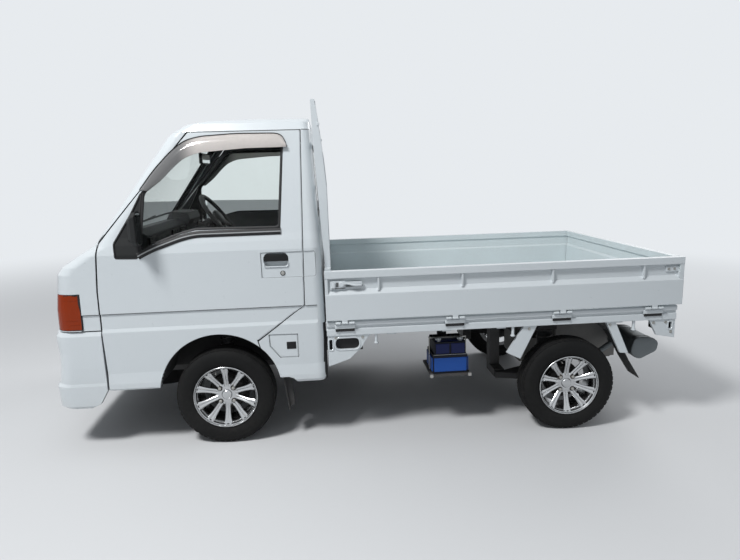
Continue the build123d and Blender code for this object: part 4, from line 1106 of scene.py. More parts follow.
def spaced(path, count):
    """A path as evenly spaced points."""
    lengths = [0.0]
    for a, b in zip(path, path[1:]):
        lengths.append(lengths[-1] + (Vector(b) - Vector(a)).length)
    result = []
    at = 0
    for i in range(count):
        want = lengths[-1] * i / (count - 1)
        while at < len(path) - 2 and lengths[at + 1] < want:
            at += 1
        share = (want - lengths[at]) / (lengths[at + 1] - lengths[at])
        result.append(Vector(path[at]).lerp(Vector(path[at + 1]), share))
    return result


visor = bmesh.new()
top_line = spaced(flat_path(VISOR_TOP_LINE, 45, 30), 56)
lip_line = spaced(flat_path(VISOR_LIP_LINE, 30, 30), 56)
sheets = []
for skin_depth in (0.0, 3.0):
    sheet = []
    for top_spot, lip_spot in zip(top_line, lip_line):
        row = []
        for k, rise in enumerate(VISOR_RISE):
            at = top_spot.lerp(lip_spot, k / (len(VISOR_RISE) - 1))
            spots, outs = on_side([(at.x, at.y)], max(rise - skin_depth, 0.3))
            row.append(visor.verts.new(spots[0]))
        sheet.append(row)
    sheets.append(sheet)
for sheet in sheets:
    for row, following in zip(sheet, sheet[1:]):
        for k in range(len(row) - 1):
            visor.faces.new((row[k], row[k + 1], following[k + 1], following[k]))
outer_sheet, inner_sheet = sheets
for rows_at in (0, -1):
    for k in range(len(VISOR_RISE) - 1):
        visor.faces.new((
            outer_sheet[rows_at][k], outer_sheet[rows_at][k + 1], inner_sheet[rows_at][k + 1],
            inner_sheet[rows_at][k]
        ))
for k in (0, -1):
    for i in range(len(outer_sheet) - 1):
        visor.faces.new((outer_sheet[i][k], outer_sheet[i + 1][k], inner_sheet[i + 1][k], inner_sheet[i][k]))
# Colour runs from the acrylic's own dark smoke at the front end to a pale warm grey over the rest: the pale
# grey is a painted reflection of the sky; the road film and haze on it are real
smoked_acrylic_painted_sheen, smoked_tree, smoked_shader = shaded("Smoked acrylic with painted sheen")
sheen_and_dust_film = placed_group(
    smoked_acrylic_painted_sheen, road_film, Color=(0.80, 0.745, 0.71, 1), Dust=0.3, Dust_Height=2.4, Drift=0.3
)
smoked_where = node_in(smoked_tree, "ShaderNodeTexCoord").outputs["Object"]
smoked_along = node_in(smoked_tree, "ShaderNodeSeparateXYZ", {0: smoked_where}).outputs["X"]
painted_sheen_span = node_in(smoked_tree, "ShaderNodeMapRange", {
    "From Min": 0.98, "From Max": 0.86, "Value": smoked_along,
}, interpolation_type="SMOOTHSTEP")
smoke_and_painted_sheen = node_in(smoked_tree, "ShaderNodeMix", {
    "A": (0.17, 0.17, 0.172, 1), "Factor": painted_sheen_span.outputs["Result"], "B": sheen_and_dust_film.outputs["Color"],
}, data_type="RGBA")
smoked_haze = calc(smoked_tree, "MULTIPLY", sheen_and_dust_film.outputs["Dust"], 0.5)
feed(smoked_tree, smoked_shader, {
    "Transmission Weight": 0.3, "IOR": 1.2, "Coat Weight": 1.0, "Coat Roughness": 0.06,
    "Base Color": smoke_and_painted_sheen.outputs["Result"], "Roughness": calc(smoked_tree, "ADD", smoked_haze, 0.12),
})
visor_right = mirrored(visor)
for form, side in ((visor, "left"), (visor_right, "right")):
    made = piece(form, "rain_visor_" + side, smoked_acrylic_painted_sheen, "door_" + side, "smoked", smooth=60)
    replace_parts(made, "door_visor_" + side)

# Door mirrors: textured black cases and sail panels with silvered glass
case_black = finish(
    "Grained black plastic", (0.012, 0.013, 0.0135), 0.5, dust=0.02, dust_height=1.6, drift=0.02,
    grain=1100, depth=0.1, wear=0.3, worn_colour=(0.04, 0.04, 0.04), rounded=0.009, shine=0.22,
)
# Thin near-black strip along the visor's top edge and down its rear end: painted shade of the door gap above
# it
visor_shade_line = fine([Vector((x, 0, z)) for x, z in top_line] + [Vector((-390, 0, 1556))], 60)
visor_shade_path = on_side([(p.x, p.z + 1.5) for p in visor_shade_line])
visor_top_shade = strip(visor_shade_path, ((-1.6, -1), (-1.6, 3.6), (1.6, 3.6), (1.6, -1)))
both_pieces(visor_top_shade, "visor_top_shade", case_black, DOORS, "black_plastic")
dress(case_black, "mirror_left", "mirror_right")
silvered = finish(
    "Silvered mirror", (0.82, 0.84, 0.85), 0.035, metal=1.0, dust=0.15, dust_height=1.9, grain=200,
    depth=0.0,
)
reflector = bmesh.new()
reflector_outline = bent(
    [(752, 0, 1106), (828, 0, 1106), (828, 0, 1258), (752, 0, 1258)], 22, 5, closed=True
)
plate(reflector, [(p.x, p.z) for p in reflector_outline], 331.5, 334.5, across="X")
both_pieces(reflector, "mirror_glass", silvered, DOORS, "glass")
rim_path = [Vector((334, p.x, p.z)) for p in reflector_outline], [Vector((-1, 0, 0))] * len(reflector_outline)
mirror_rim = strip(rim_path, ((-4, -1), (-4, 3), (-1, 4), (2, 3), (2, -1)), True)
both_pieces(mirror_rim, "mirror_rim", case_black, DOORS, "black_plastic", smooth=50)
sail_path = flat_path(
    ((345, 1350), (400, 1245), (488, 1104), (484, 1031), (374, 1027)), 10, 60, 4, closed=True
)
sail_edge = strip(on_side(sail_path), ((-4, -6), (-3, 1.2), (3, 1.2), (4, -6)), True)
both_pieces(sail_edge, "sail_rubber", black_rubber, DOORS, "rubber", smooth=50)

# Inner door trim: moulded grey card with an armrest, a window winder and a pull handle
door_trim = bmesh.new()
TRIM_OUTLINE = (
    (-395, 1118), (-388, 780), (-330, 690), (-330, 660), (330, 660), (400, 640), (540, 640), (548, 960),
    (536, 1040), (372, 1012), (292, 1070), (150, 1112), (80, 1120),
)
plate(door_trim, TRIM_OUTLINE, 672, 681)
cuboid(door_trim, -170, 210, 634, 673, 868, 902)
cuboid(door_trim, -60, 330, 650, 673, 684, 770)
both_pieces(door_trim, "door_trim", trim_grey, DOORS, "grey_plastic", edge=5)
winder = bmesh.new()
spun(winder, ((24, 0), (24, -6), (19, -12), (0, -13)), (230, 671, 850), 20)
rod(winder, [(230, 655, 850), (196, 648, 810), (176, 646, 786)], 7, 8)
spun(winder, ((10, 2), (11, -6), (11, -30), (8, -33), (0, -33)), (176, 646, 786), 14)
cuboid(winder, 300, 380, 660, 672, 930, 948)
both_pieces(winder, "door_winder", wiper_black, DOORS, "black_plastic", smooth=40, edge=1)

# Lamps in front: amber corner indicators wrapped round the cab's corners, and clear headlamps beside them.
# The corner lamps have moulded ribs on the lens and a thin black rubber seat; the headlamps have an
# aluminised bowl and bulb behind a moulded lens.
def steps_between(low, high, count):
    """Evenly spaced values including both ends."""
    return [low + (high - low) * i / (count - 1) for i in range(count)]


def lamp_glass(name, colour, transmission, roughness, gloss):
    """Moulded lens plastic: fine vertical flutes, road film towards its foot."""
    material, tree, shader = shaded(name)
    film = placed_group(material, road_film, Color=(*colour, 1), Dust=0.02, Dust_Height=0.9, Drift=0.02)
    haze = calc(tree, "MULTIPLY", film.outputs["Dust"], 0.4)
    where = node_in(tree, "ShaderNodeTexCoord").outputs["Object"]
    flutes = node_in(
        tree, "ShaderNodeTexWave", {"Scale": 30.0, "Distortion": 0.0, "Vector": where}, bands_direction="Y"
    )
    bump = node_in(
        tree, "ShaderNodeBump", {"Strength": 0.35, "Distance": 0.0015, "Height": flutes.outputs["Fac"]}
    )
    feed(tree, shader, {
        "Transmission Weight": transmission, "IOR": 1.42, "Specular IOR Level": gloss,
        "Coat Weight": gloss * 0.5,
        "Coat Roughness": 0.05, "Base Color": film.outputs["Color"],
        "Roughness": calc(tree, "ADD", haze, roughness), "Normal": bump.outputs["Normal"],
    })
    return material


amber_lens = lamp_glass("Amber lens", (0.23, 0.024, 0.0003), 0.0, 0.16, 0.16)
clear_lens = lamp_glass("Clear lens", (0.92, 0.95, 0.95), 1.0, 0.02, 0.6)
bright_bowl = finish(
    "Aluminised reflector", (0.78, 0.79, 0.8), 0.12, metal=1.0, dust=0.1, drift=0.1, grain=300, depth=0.01,
)
dress(amber_lens, "corner_lamps")

# Thin rubber seat round each corner lamp
corner_skin = skin_of("corner_lamps")
front_edge = [(899, 610, z) for z in steps_between(855, 671, 5)] + [(899, y, 671) for y in (640, 670)]
rear_column = [(x, 800, 671) for x in steps_between(800, 687, 5)]
rear_column += [(681 + (855 - z) * 0.02, 800, z) for z in steps_between(671, 855, 5)]
top_side = [(x, 800, 855) for x in steps_between(700, 800, 5)]
ring_spots = []
ring_outs = []
for path, toward in (
    (front_edge, (-1, 0, 0)), (rear_column, (0, -1, 0)), (top_side, (0, -1, 0)),
    ([(899, 670, 855), (899, 640, 855)], (-1, 0, 0)),
):
    spots, outs = laid_on(corner_skin, path, toward)
    ring_spots += spots
    ring_outs += outs
seat_ring = strip((ring_spots, ring_outs), ((-1.6, -8), (-1.6, 0.5), (0, 1.2), (1.6, 0.5), (1.6, -8)), True)
pair_piece(seat_ring, "corner_lamp_ring", black_rubber, "chassis", "rubber", smooth=60)

# Moulded ribs across the amber lens, following its curve
ribs = bmesh.new()
for z in (700, 722, 826):
    rib_path = [(899, y, z) for y in (618, 640, 662)] + [(x, 800, z) for x in steps_between(800, 694, 6)]
    rib_spots, rib_outs = laid_on(corner_skin, rib_path[:3], (-1, 0, 0))
    side_spots, side_outs = laid_on(corner_skin, rib_path[3:], (0, -1, 0))
    loop_on(ribs, rib_spots + side_spots, rib_outs + side_outs, ((-2, -1), (-1, 1.2), (1, 1.2), (2, -1)))
pair_piece(ribs, "corner_lamp_ribs", amber_lens, "chassis", "lamp_amber", smooth=60)

# Headlamps: the lens takes the CAD piece's face as a thin moulding over a deep aluminised bowl
lamp_skin = skin_of("headlights")
LAMP_IN, LAMP_OUT, LAMP_FOOT, LAMP_TOP = 333.5, 600.5, 677.5, 848.5
LAMP_YS = steps_between(LAMP_IN, LAMP_OUT, 21)
LAMP_ZS = steps_between(LAMP_FOOT, LAMP_TOP, 15)
lens = bmesh.new()
bowl = bmesh.new()
lens_rows = [
    [lamp_skin.ray_cast(Vector((1500, y, z)), Vector((-1, 0, 0)))[0] for y in LAMP_YS] for z in LAMP_ZS
]
BOWL_CENTRE = (476, 763)
lens_sheets = []
for depth in (0.0, 3.5):
    lens_sheets.append([[lens.verts.new((hit.x - depth, hit.y, hit.z)) for hit in row] for row in lens_rows])
bowl_sheets = []
for back in (0.0, 2.0):
    sheet = []
    for row in lens_rows:
        line = []
        for hit in row:
            reach = math.hypot(hit.y - BOWL_CENTRE[0], hit.z - BOWL_CENTRE[1])
            edge = min(hit.y - LAMP_IN, LAMP_OUT - hit.y, hit.z - LAMP_FOOT, LAMP_TOP - hit.z)
            depth = 4.5 if edge < 1 else (26.0 - 13.0 * (reach / 84) ** 2 if reach < 84 else 15.0)
            line.append(bowl.verts.new((hit.x - depth - back, hit.y, hit.z)))
        sheet.append(line)
    bowl_sheets.append(sheet)
for form, sheets in ((lens, lens_sheets), (bowl, bowl_sheets)):
    for sheet in sheets:
        for row, following in zip(sheet, sheet[1:]):
            for k in range(len(row) - 1):
                form.faces.new((row[k], row[k + 1], following[k + 1], following[k]))
    rim_outer, rim_inner = (
        rows[0] + [row[-1] for row in rows[1:]] + rows[-1][-2::-1] + [row[0] for row in rows[-2:0:-1]]
        for rows in sheets
    )
    for i in range(len(rim_outer)):
        form.faces.new((rim_outer[i - 1], rim_outer[i], rim_inner[i], rim_inner[i - 1]))
lens_piece = pair_piece(lens, "headlamp_lens", clear_lens, "chassis", "lamp_clear", smooth=50)
pair_piece(bowl, "headlamp_bowl", bright_bowl, "chassis", "steel", smooth=40)
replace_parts(lens_piece, "headlights")
bulb = bmesh.new()
bulb_x = lens_rows[7][10].x - 24
spun(bulb, ((12, 0), (12, 6), (7, 9), (7, 15), (5, 18), (0, 19)), (bulb_x, *BOWL_CENTRE), 16, axis="X")
pair_piece(bulb, "headlamp_bulb", bright_bowl, "chassis", "steel", smooth=50)

# Bumper fittings: blank number plate on two bolts and a black grille mesh behind the slots
bumper_skin = skin_of("front_bumper")
front_plate_form = bmesh.new()
plate_at = bumper_skin.ray_cast(Vector((1500, 0, 500)), Vector((-1, 0, 0)))[0].x
plate(front_plate_form, [(p.x, p.z) for p in bent(
    [(-165, 0, 424), (165, 0, 424), (165, 0, 588), (-165, 0, 588)], 9, 4, closed=True
)], plate_at + 3, plate_at + 5, across="X")
plate_white = finish(
    "Plate enamel", (0.72, 0.73, 0.71), 0.4, coat=0.2, dust=0.45, dust_height=0.8, grain=500, depth=0.01
)
piece(front_plate_form, "front_plate", plate_white, "chassis", "paint_under", edge=0.5)
bolts(
    "front_plate_bolts", [((plate_at + 5, y, 570), (1, 0, 0)) for y in (-105, 105)], 6.5, zinc, "chassis",
)
grille = bmesh.new()
for z in (280, 301, 322, 343):
    grille_path = [(1500, y, z) for y in steps_between(-268, 268, 12)]
    grille_spots = laid_on(bumper_skin, grille_path, (-1, 0, 0))[0]
    grille_spots = [Vector((min(s.x, 884.5), s.y, z)) for s in grille_spots]
    loop_on(
        grille, grille_spots, [Vector((1, 0, 0))] * len(grille_spots), (
            (-5.5, 0), (-5.5, 2.4), (5.5, 2.4), (5.5, 0)
        )
    )
piece(grille, "bumper_grille", case_black, "chassis", "black_plastic")

# Cargo bed: welded steel floor, headboard and roll-formed drop gates in the cab's enamel.
# Loads have rubbed the ribs and edges dull; the gates hang on pinned barrels and close with lever latches.
# The faces turned into the bed take a lighter, bluer copy of the white enamel: painted light; its rubbed
# edges and dust are real wear
lit_bed_enamel = finish(
    "Worn bed enamel, lit copy", (0.64, 0.715, 0.735), 0.45, coat=0.25, dust=0.14, dust_height=2.2, drift=0.12,
    grain=240, coarse=0.4, depth=0.03, wear=0.3, worn_colour=(0.34, 0.35, 0.35), worn_metal=0.4,
    reach=0.0025, rounded=0.0025,
)
SIDE_GATES = ("side_gate_left", "side_gate_right")


def inward(spot, way):
    """1 where a face looks in towards the bed, else 0."""
    if abs(way.y) > 0.5:
        return 1 if way.y * math.copysign(1, spot.y) < 0 else 0
    return 1 if way.x > 0.5 and spot.x < -2400 else 0


def bed_side(spot, way):
    """0 outer rail, 1 load floor, 2 underside in black underseal: painted shade over what is white-painted
    steel.
    """
    if abs(spot.y) > 686 and spot.z < 650:
        return 0
    if spot.z > 640 and way.z > -0.5:
        return 1
    return 2 if spot.x > -2473 else 0


part_dress(("bed_floor",), (body_white, lit_bed_enamel, underseal), bed_side)
part_dress((*SIDE_GATES, "tailgate"), (body_white, lit_bed_enamel), inward)
part_dress(
    ("headboard",), (body_white, lit_bed_enamel), lambda spot, way: 1 if way.x < -0.5 and spot.z < 930 else 0
)
part_dress(
    ("bed_brackets",), (body_white, underseal), lambda spot,
    way: 1 if way.y * math.copysign(1, spot.y) < -0.5 else 0
)

# Gate fittings: latch lever with its pivot, keeper plate at the rear end
latch = bmesh.new()
rod(latch, bent([(-744, 738, 846), (-704, 742, 846), (-672, 738, 857), (-650, 735, 858)], 14, 3), 5.5, 8)
spun(latch, ((15, 0), (15, 5), (12, 8), (0, 8)), (-640, 731, 851), 20)
cuboid(latch, -606, -592, 731, 741, 834, 864)
both_pieces(latch, "gate_latch", body_white, SIDE_GATES, "paint", smooth=40)
# Near-black strips in the latch's gaps: painted shade
latch_shade_strips = blocks(
    (-660, -588, 731.5, 732.8, 829, 834),
    (-624, -612, 731.5, 733, 838, 862),
    (-748, -664, 719, 729, 838, 842),
)
both_pieces(latch_shade_strips, "gate_latch_shade", painted_gap_shade, SIDE_GATES, "rubber")
keeper = blocks((-2484, -2392, 712, 726, 842, 872), (-2484, -2462, 718, 735, 812, 842))
both_pieces(keeper, "gate_keeper", body_white, SIDE_GATES, "paint", edge=2)
for gate_side, sign in (("left", 1), ("right", -1)):
    gate_bolts = [((x, sign * 726, 857), (0, sign, 0)) for x in (-2472, -2440, -2408)]
    gate_bolts += [((x, sign * 732, 851), (0, sign, 0)) for x in (-652, -628)]
    bolts("gate_bolts_" + gate_side, gate_bolts, 5, zinc, "side_gate_" + gate_side)

# Hinge plates welded on the rail below each barrel, with a bolt at each end
hinge_plates = bmesh.new()
hinge_shadow = bmesh.new()
hinge_bolts = []
for x in (-650, -1237, -1824, -2337):
    cuboid(hinge_plates, x - 54, x + 54, 717, 727, 612, 633)
    # Black block under each hinge plate: painted shadow below the plate; the bolts set in it take the same
    # black
    cuboid(hinge_shadow, x - 50, x + 50, 717, 725.5, 597, 612)
    for end in (-40, 40):
        for sign in (1, -1):
            hinge_bolts.append(((x + end, sign * 725.5, 604), (0, sign, 0)))
pair_piece(hinge_plates, "hinge_plates", body_white, "chassis", "paint", edge=2)
pair_piece(hinge_shadow, "hinge_painted_shadow", underseal, "chassis", "iron", edge=1)
bolts("hinge_bolts", hinge_bolts, 5, underseal, "chassis")

# Pressed rims round the holes in the side brackets, and knobs on the rope hooks
bracket_rims = bmesh.new()
for x, z, length, height in ((-660, 526, 134, 68), (-572, 523, 25, 64), (-2446, 538, 27, 49)):
    corner = min(length, height) * 0.45
    hole = flat_path(
        ((x - length / 2, z - height / 2), (x + length / 2, z - height / 2), (x + length / 2, z + height / 2),
         (x - length / 2, z + height / 2)), corner, 50, 6, closed=True,
    )
    loop_on(
        bracket_rims, [Vector((a, 712, b)) for a, b in hole], [Vector((0, 1, 0))] * len(hole),
        ((-5, -1), (-4, 2), (0, 3.4), (4, 2), (5, -1)), True,
    )
pair_piece(bracket_rims, "bracket_rims", body_white, "chassis", "paint", smooth=60)
# Near-black plates behind the brackets' slots so the slots read dark: painted shade
slot_shade_backs = blocks((-742, -562, 676, 690, 484, 568), (-2466, -2424, 684, 692, 506, 570))
pair_piece(slot_shade_backs, "bracket_slot_shades", underseal, "chassis", "iron", edge=1)
knobs = bmesh.new()
for x in (-814, -1560, -2240):
    spun(knobs, ((8, 0), (13, -3), (13, -8), (8, -12), (0, -12)), (x, 704, 528), 16, axis="Z")
pair_piece(knobs, "rope_hook_knobs", body_white, "chassis", "paint", smooth=50)
bracket_bolts = []
for x, z in ((-600, 558), (-742, 558), (-2452, 500), (-2350, 556), (-2420, 556), (-1650, 556), (-2104, 556)):
    for sign in (1, -1):
        bracket_bolts.append(((x, sign * (712 if x > -800 or x < -2300 else 708), z), (0, sign, 0)))
bolts("bracket_bolts", bracket_bolts, 6, zinc, "chassis")

# Headboard: load rack lugs on the posts, and dark discs of painted shade for the drain holes along the floor
rack_lugs = blocks((-562, -549, 667, 673, 1654, 1670))
pair_piece(rack_lugs, "rack_lugs", body_white, "chassis", "paint", edge=2)
post_bolts = []
for z in (700, 760, 880):
    for sign in (1, -1):
        post_bolts.append(((-573, sign * 668, z), (0, sign, 0)))
bolts("post_bolts", post_bolts, 6, zinc, "chassis")
# Dark discs on the floor where the drain holes are: painted shade
drain_shades = bmesh.new()
for x in (-640, -1100, -1560, -2020, -2430):
    for y in (-672, 672):
        spun(drain_shades, ((9, -0.5), (9, 0.6), (0, 0.6)), (x, y, 652), 14, axis="Z")
piece(drain_shades, "floor_drain_shades", painted_gap_shade, "chassis", "rubber")

# Rear: lamps in black housings with moulded red, amber and clear lenses, and a blank plate under the floor
dress(case_black, "tail_lamps")
red_lens = lamp_glass("Red lens", (0.30, 0.003, 0.004), 0.1, 0.1, 0.3)
for lens_name, material, slot_name, y_low, y_high in (
    ("tail_lens_red", red_lens, "lamp_red", 610, 686),
    ("tail_lens_amber", amber_lens, "lamp_amber", 566, 608),
    ("tail_lens_clear", clear_lens, "lamp_clear", 524, 564),
):
    tail_lens = blocks((-2479, -2470, y_low, y_high, 482, 562))
    pair_piece(tail_lens, lens_name, material, "chassis", slot_name, edge=3, edge_steps=3)
rear_plate_form = bmesh.new()
plate(rear_plate_form, [(p.x, p.z) for p in bent(
    [(-165, 0, 470), (165, 0, 470), (165, 0, 634), (-165, 0, 634)], 9, 4, closed=True
)], -2479, -2477, across="X")
piece(rear_plate_form, "rear_plate", plate_white, "chassis", "paint_under", edge=0.5)
rear_bracket = blocks((-2477, -2470, -150, 150, 480, 600))
piece(rear_bracket, "rear_plate_bracket", case_black, "chassis", "black_plastic", edge=2)
bolts("rear_plate_bolts", [((-2479, y, 618), (-1, 0, 0)) for y in (-105, 105)], 6.5, zinc, "chassis")

# Rubber flaps: moulded black sheets with a stiff rib along the edge
flap_rubber = finish(
    "Flap rubber", (0.012, 0.012, 0.013), 0.85, dust=0.1, dust_height=0.5, grain=420, coarse=0.6,
    depth=0.08,
)
dress(flap_rubber, "mud_flaps")

# Battery box on its shelf: dark blue moulded cells over a bright blue lower case, held down by a steel bar
BATTERY_FILM = dict(dust=0.02, drift=0.02, grain=900, depth=0.03)
battery_dark = finish(
    "Dark battery case", (0.002, 0.004, 0.011), 0.5, shine=0.2, dust_height=0.8, rounded=0.004,
    **BATTERY_FILM
)
battery_blue = finish("Blue battery panel", (0.0035, 0.062, 0.30), 0.42, shine=0.3, **BATTERY_FILM)
battery_deep = finish("Deep blue panel", (0.002, 0.009, 0.075), 0.45, shine=0.25, **BATTERY_FILM)
lead = finish("Lead terminal", (0.42, 0.44, 0.46), 0.6, metal=0.6, dust=0.3, grain=500, depth=0.1)
dress(battery_dark, "battery")
lower_panel = blocks(
    (-1326, -1142, 619, 624, 306, 386),
    (-1326, -1142, 432, 437, 306, 386),
    (-1338.5, -1330, 444, 612, 306, 386),
    (-1138, -1130, 444, 612, 306, 386),
)
piece(lower_panel, "battery_lower_panels", battery_blue, "chassis", "battery", edge=3)
cells = blocks(
    (-1316, -1240, 609, 615, 408, 466), (-1230, -1154, 609, 615, 408, 466), (
        -1312, -1156, 460, 596, 473, 478
    ),
)
piece(cells, "battery_cells", battery_deep, "chassis", "battery", edge=3)
terminals = bmesh.new()
for x in (-1296, -1172):
    spun(terminals, ((12, 0), (12, 4), (9, 5), (8, 17), (0, 17)), (x, 590, 477), 16, axis="Z")
    cuboid(terminals, x - 16, x + 16, 574, 588, 480, 490)
cuboid(terminals, -1328, -1140, 612, 614.5, 398, 403)
piece(terminals, "battery_terminals", lead, "chassis", "steel", smooth=40)
caps = bmesh.new()
for i in range(6):
    spun(caps, ((10, 0), (10, 4), (8, 6), (0, 6)), (-1300 + i * 26, 500, 477), 14, axis="Z")
piece(caps, "battery_caps", wiper_black, "chassis", "black_plastic", smooth=40)
hold_down = bmesh.new()
cuboid(hold_down, -1341, -1127, 520, 540, 478, 484)
for x in (-1341, -1131):
    rod(hold_down, [(x, 530, 484), (x, 530, 292)], 3.5, 8)
for x in (-1350, -1134):
    cuboid(hold_down, x, x + 18, 622, 636, 278, 296)
piece(hold_down, "battery_hold_down", zinc, "chassis", "steel")

# Suspension and steering: forged and pressed iron, oily and dusty, with painted coil springs
forged = finish(
    "Chassis iron", (0.012, 0.012, 0.013), 0.7, metal=0.3, dust=0.05, dust_height=0.5, grain=220,
    coarse=0.6, depth=0.2, wear=0.3, worn_colour=(0.05, 0.03, 0.02), worn_metal=0.2, shine=0.35,
)
dress(forged, "suspension", "rack_housing", "knuckle_left", "knuckle_right")
bright_bar = finish("Ground steel bar", (0.3, 0.3, 0.3), 0.3, metal=0.9, dust=0.4, grain=260, depth=0.02)
dress(bright_bar, "steering_rack")
spring_black = finish("Spring enamel", (0.014, 0.014, 0.015), 0.4, coat=0.2, dust=0.2, grain=300, depth=0.04)


def coil(low, high, radius, turns):
    """Path of a coil spring between two points, its ends closed flat."""
    low = Vector(low)
    high = Vector(high)
    along = (high - low).normalized()
    side = along.cross(Vector((1, 0, 0))).normalized()
    other = along.cross(side)
    points = []
    count = int(turns * 18)
    for i in range(count + 1):
        share = i / count
        rise = min(1, max(0, (share - 0.1) / 0.8))
        turn = math.tau * turns * share
        points.append(low.lerp(high, rise) + side * radius * math.cos(turn) + other * radius * math.sin(turn))
    return points


springs = bmesh.new()
rod(springs, coil((0, 526, 492), (0, 503, 596), 35, 4.5), 5, 8)
rod(springs, coil((-1845, 428, 250), (-1845, 428, 468), 42, 6.5), 6.5, 8)
pair_piece(springs, "coil_springs", spring_black, "chassis", "steel", smooth=60)
boots = bmesh.new()
BOOT = [(14, 0)] + [(24 if i % 2 else 15, -8 * (i + 1)) for i in range(7)] + [(12, -66)]
spun(boots, [(r, -y) for r, y in BOOT], (80, 196, 196), 20)
boot_axle = [(17, 0)] + [(30 if i % 2 else 19, 7 * (i + 1)) for i in range(6)] + [(15, 50)]
spun(boots, boot_axle, (-1885, 470, 217.9), 20)
spun(boots, [(r, -o) for r, o in boot_axle], (-1885, 240, 217.9), 20)
pair_piece(boots, "rubber_boots", black_rubber, "chassis", "rubber", smooth=30)

# Power unit behind the axle: cast block with a ribbed pan, belt pulleys and a rocker cover; steel exhaust
cast_metal = finish(
    "Cast aluminium", (0.16, 0.16, 0.158), 0.6, metal=0.6, dust=0.4, dust_height=0.6, grain=160, coarse=0.6,
    depth=0.25, rounded=0.006,
)
dress(cast_metal, "engine_block")
pan = bmesh.new()
for i in range(9):
    cuboid(pan, -2366 + i * 42, -2350 + i * 42, -236, 236, 206, 218)
cuboid(pan, -2370, -2000, -216, 216, 196, 214)
piece(pan, "engine_pan", cast_metal, "chassis", "iron", edge=3)
pulleys = bmesh.new()
for y, z, radius in ((-60, 290, 66), (90, 400, 42), (-170, 410, 34)):
    spun(pulleys, (
        (radius, 0), (radius, -6), (radius - 7, -10), (radius, -14), (radius, -20), (radius * 0.5, -20),
        (radius * 0.4, -12), (0, -12),
    ), (-2380, y, z), 28, axis="X")
piece(pulleys, "belt_pulleys", forged, "chassis", "iron", smooth=40)
rocker = bmesh.new()
cuboid(rocker, -2340, -2020, -110, 110, 468, 502)
for i in range(6):
    cuboid(rocker, -2330 + i * 52, -2316 + i * 52, -104, 104, 502, 507)
spun(rocker, ((26, 0), (26, 14), (20, 18), (0, 18)), (-2050, 60, 502), 20, axis="Z")
piece(rocker, "rocker_cover", wiper_black, "chassis", "black_plastic", edge=4)
exhaust_steel = finish(
    "Aluminised exhaust steel", (0.16, 0.18, 0.19), 0.6, metal=0.5, dust=0.08, dust_height=0.6, grain=200,
    coarse=0.5, depth=0.06, wear=0.4, worn_colour=(0.10, 0.05, 0.03), worn_metal=0.2, rounded=0.012,
)
MUFFLER_SECTION = (
    (-2300, 372), (-2322, 438), (-2424, 434), (-2462, 402), (-2452, 351), (-2416, 335), (-2352, 304),
    (-2302, 330),
)
MUFFLER_MIDDLE = Vector((-2382, 0, 372))
# across the truck, size against the section; the steps are the crimped ends and the strap
MUFFLER_STATIONS = (
    (304, 0), (302, 0.4), (304, 0.8), (308, 0.93), (309, 1), (317, 1), (318, 0.96), (356, 0.96),
    (357, 0.985), (377, 0.985), (378, 0.96), (532, 0.96), (533, 0.985), (553, 0.985), (554, 0.96),
    (582, 0.96), (583, 1), (591, 1), (592, 0.93), (596, 0.8), (598, 0.4), (596, 0),
)
muffler_ring = [Vector((x, 0, z)) for x, z in MUFFLER_SECTION]
for _ in range(3):
    muffler_ring = [
        a * (1 - share) + b * share for a, b in zip(muffler_ring, muffler_ring[1:] + muffler_ring[:1])
        for share in (0.2, 0.8)
    ]
muffler = bmesh.new()
ring_before = None
for station_y, size in MUFFLER_STATIONS:
    ring = [
        muffler.verts.new(
            (MUFFLER_MIDDLE + (p - MUFFLER_MIDDLE) * max(size, 0.02)) + Vector((0, station_y, 0))
        )
        for p in muffler_ring
    ]
    for i in range(len(ring)):
        if ring_before:
            muffler.faces.new((ring_before[i - 1], ring_before[i], ring[i], ring[i - 1]))
    if ring_before is None or station_y == MUFFLER_STATIONS[-1][0] and size == 0:
        muffler.faces.new(ring)
    ring_before = ring
bmesh.ops.recalc_face_normals(muffler, faces=muffler.faces)
rod(
    muffler, bent([(-2100, 240, 262), (-2100, 300, 262), (-2210, 340, 262), (-2320, 360, 350)], 40, 6), 17, 14
)
rod(muffler, bent([(-2400, 340, 365), (-2440, 340, 356), (-2472, 340, 344)], 30, 4), 15, 16)
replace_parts(piece(muffler, "muffler", exhaust_steel, "chassis", "steel", smooth=40), "exhaust")

# Radiator core with pressed side tanks, its fins as a fine procedural grooving
fin_metal = finish("Radiator core", (0.05, 0.05, 0.05), 0.5, metal=0.6, dust=0.3, grain=3000, depth=0.4)
dress(fin_metal, "radiator")
rad_tanks = blocks((798, 829, -244, 244, 384, 412), (798, 829, -244, 244, 584, 612))
piece(rad_tanks, "radiator_tanks", case_black, "chassis", "black_plastic", edge=3)

# Fuel tank seam flange and straps; spare wheel disc on its carrier
tank_seam = bmesh.new()
tank_edge = [(-1156, -646), (-654, -646), (-654, -370), (-1156, -370)]
plate(tank_seam, tank_edge, 358, 362, across="Z")
for x in (-1060, -780):
    cuboid(tank_seam, x - 14, x + 14, -644, -372, 257.5, 262.5)
    cuboid(tank_seam, x - 14, x + 14, -644, -639.5, 258, 464)
piece(tank_seam, "tank_straps", chassis_black, "chassis", "iron", edge=0.8)
dress(tyre_rubber, "spare_wheel")
spare_rim = bmesh.new()
spun(spare_rim, (
    (139, 22), (139, 58), (134, 58), (128, 44), (112, 34), (96, 38), (60, 40), (40, 30), (0, 30), (0, 26),
    (40, 26), (60, 34), (96, 33), (112, 28), (128, 24),
), (480, 0, 244), 48, axis="Z")
piece(spare_rim, "spare_wheel_disc", forged, "chassis", "steel", smooth=30)

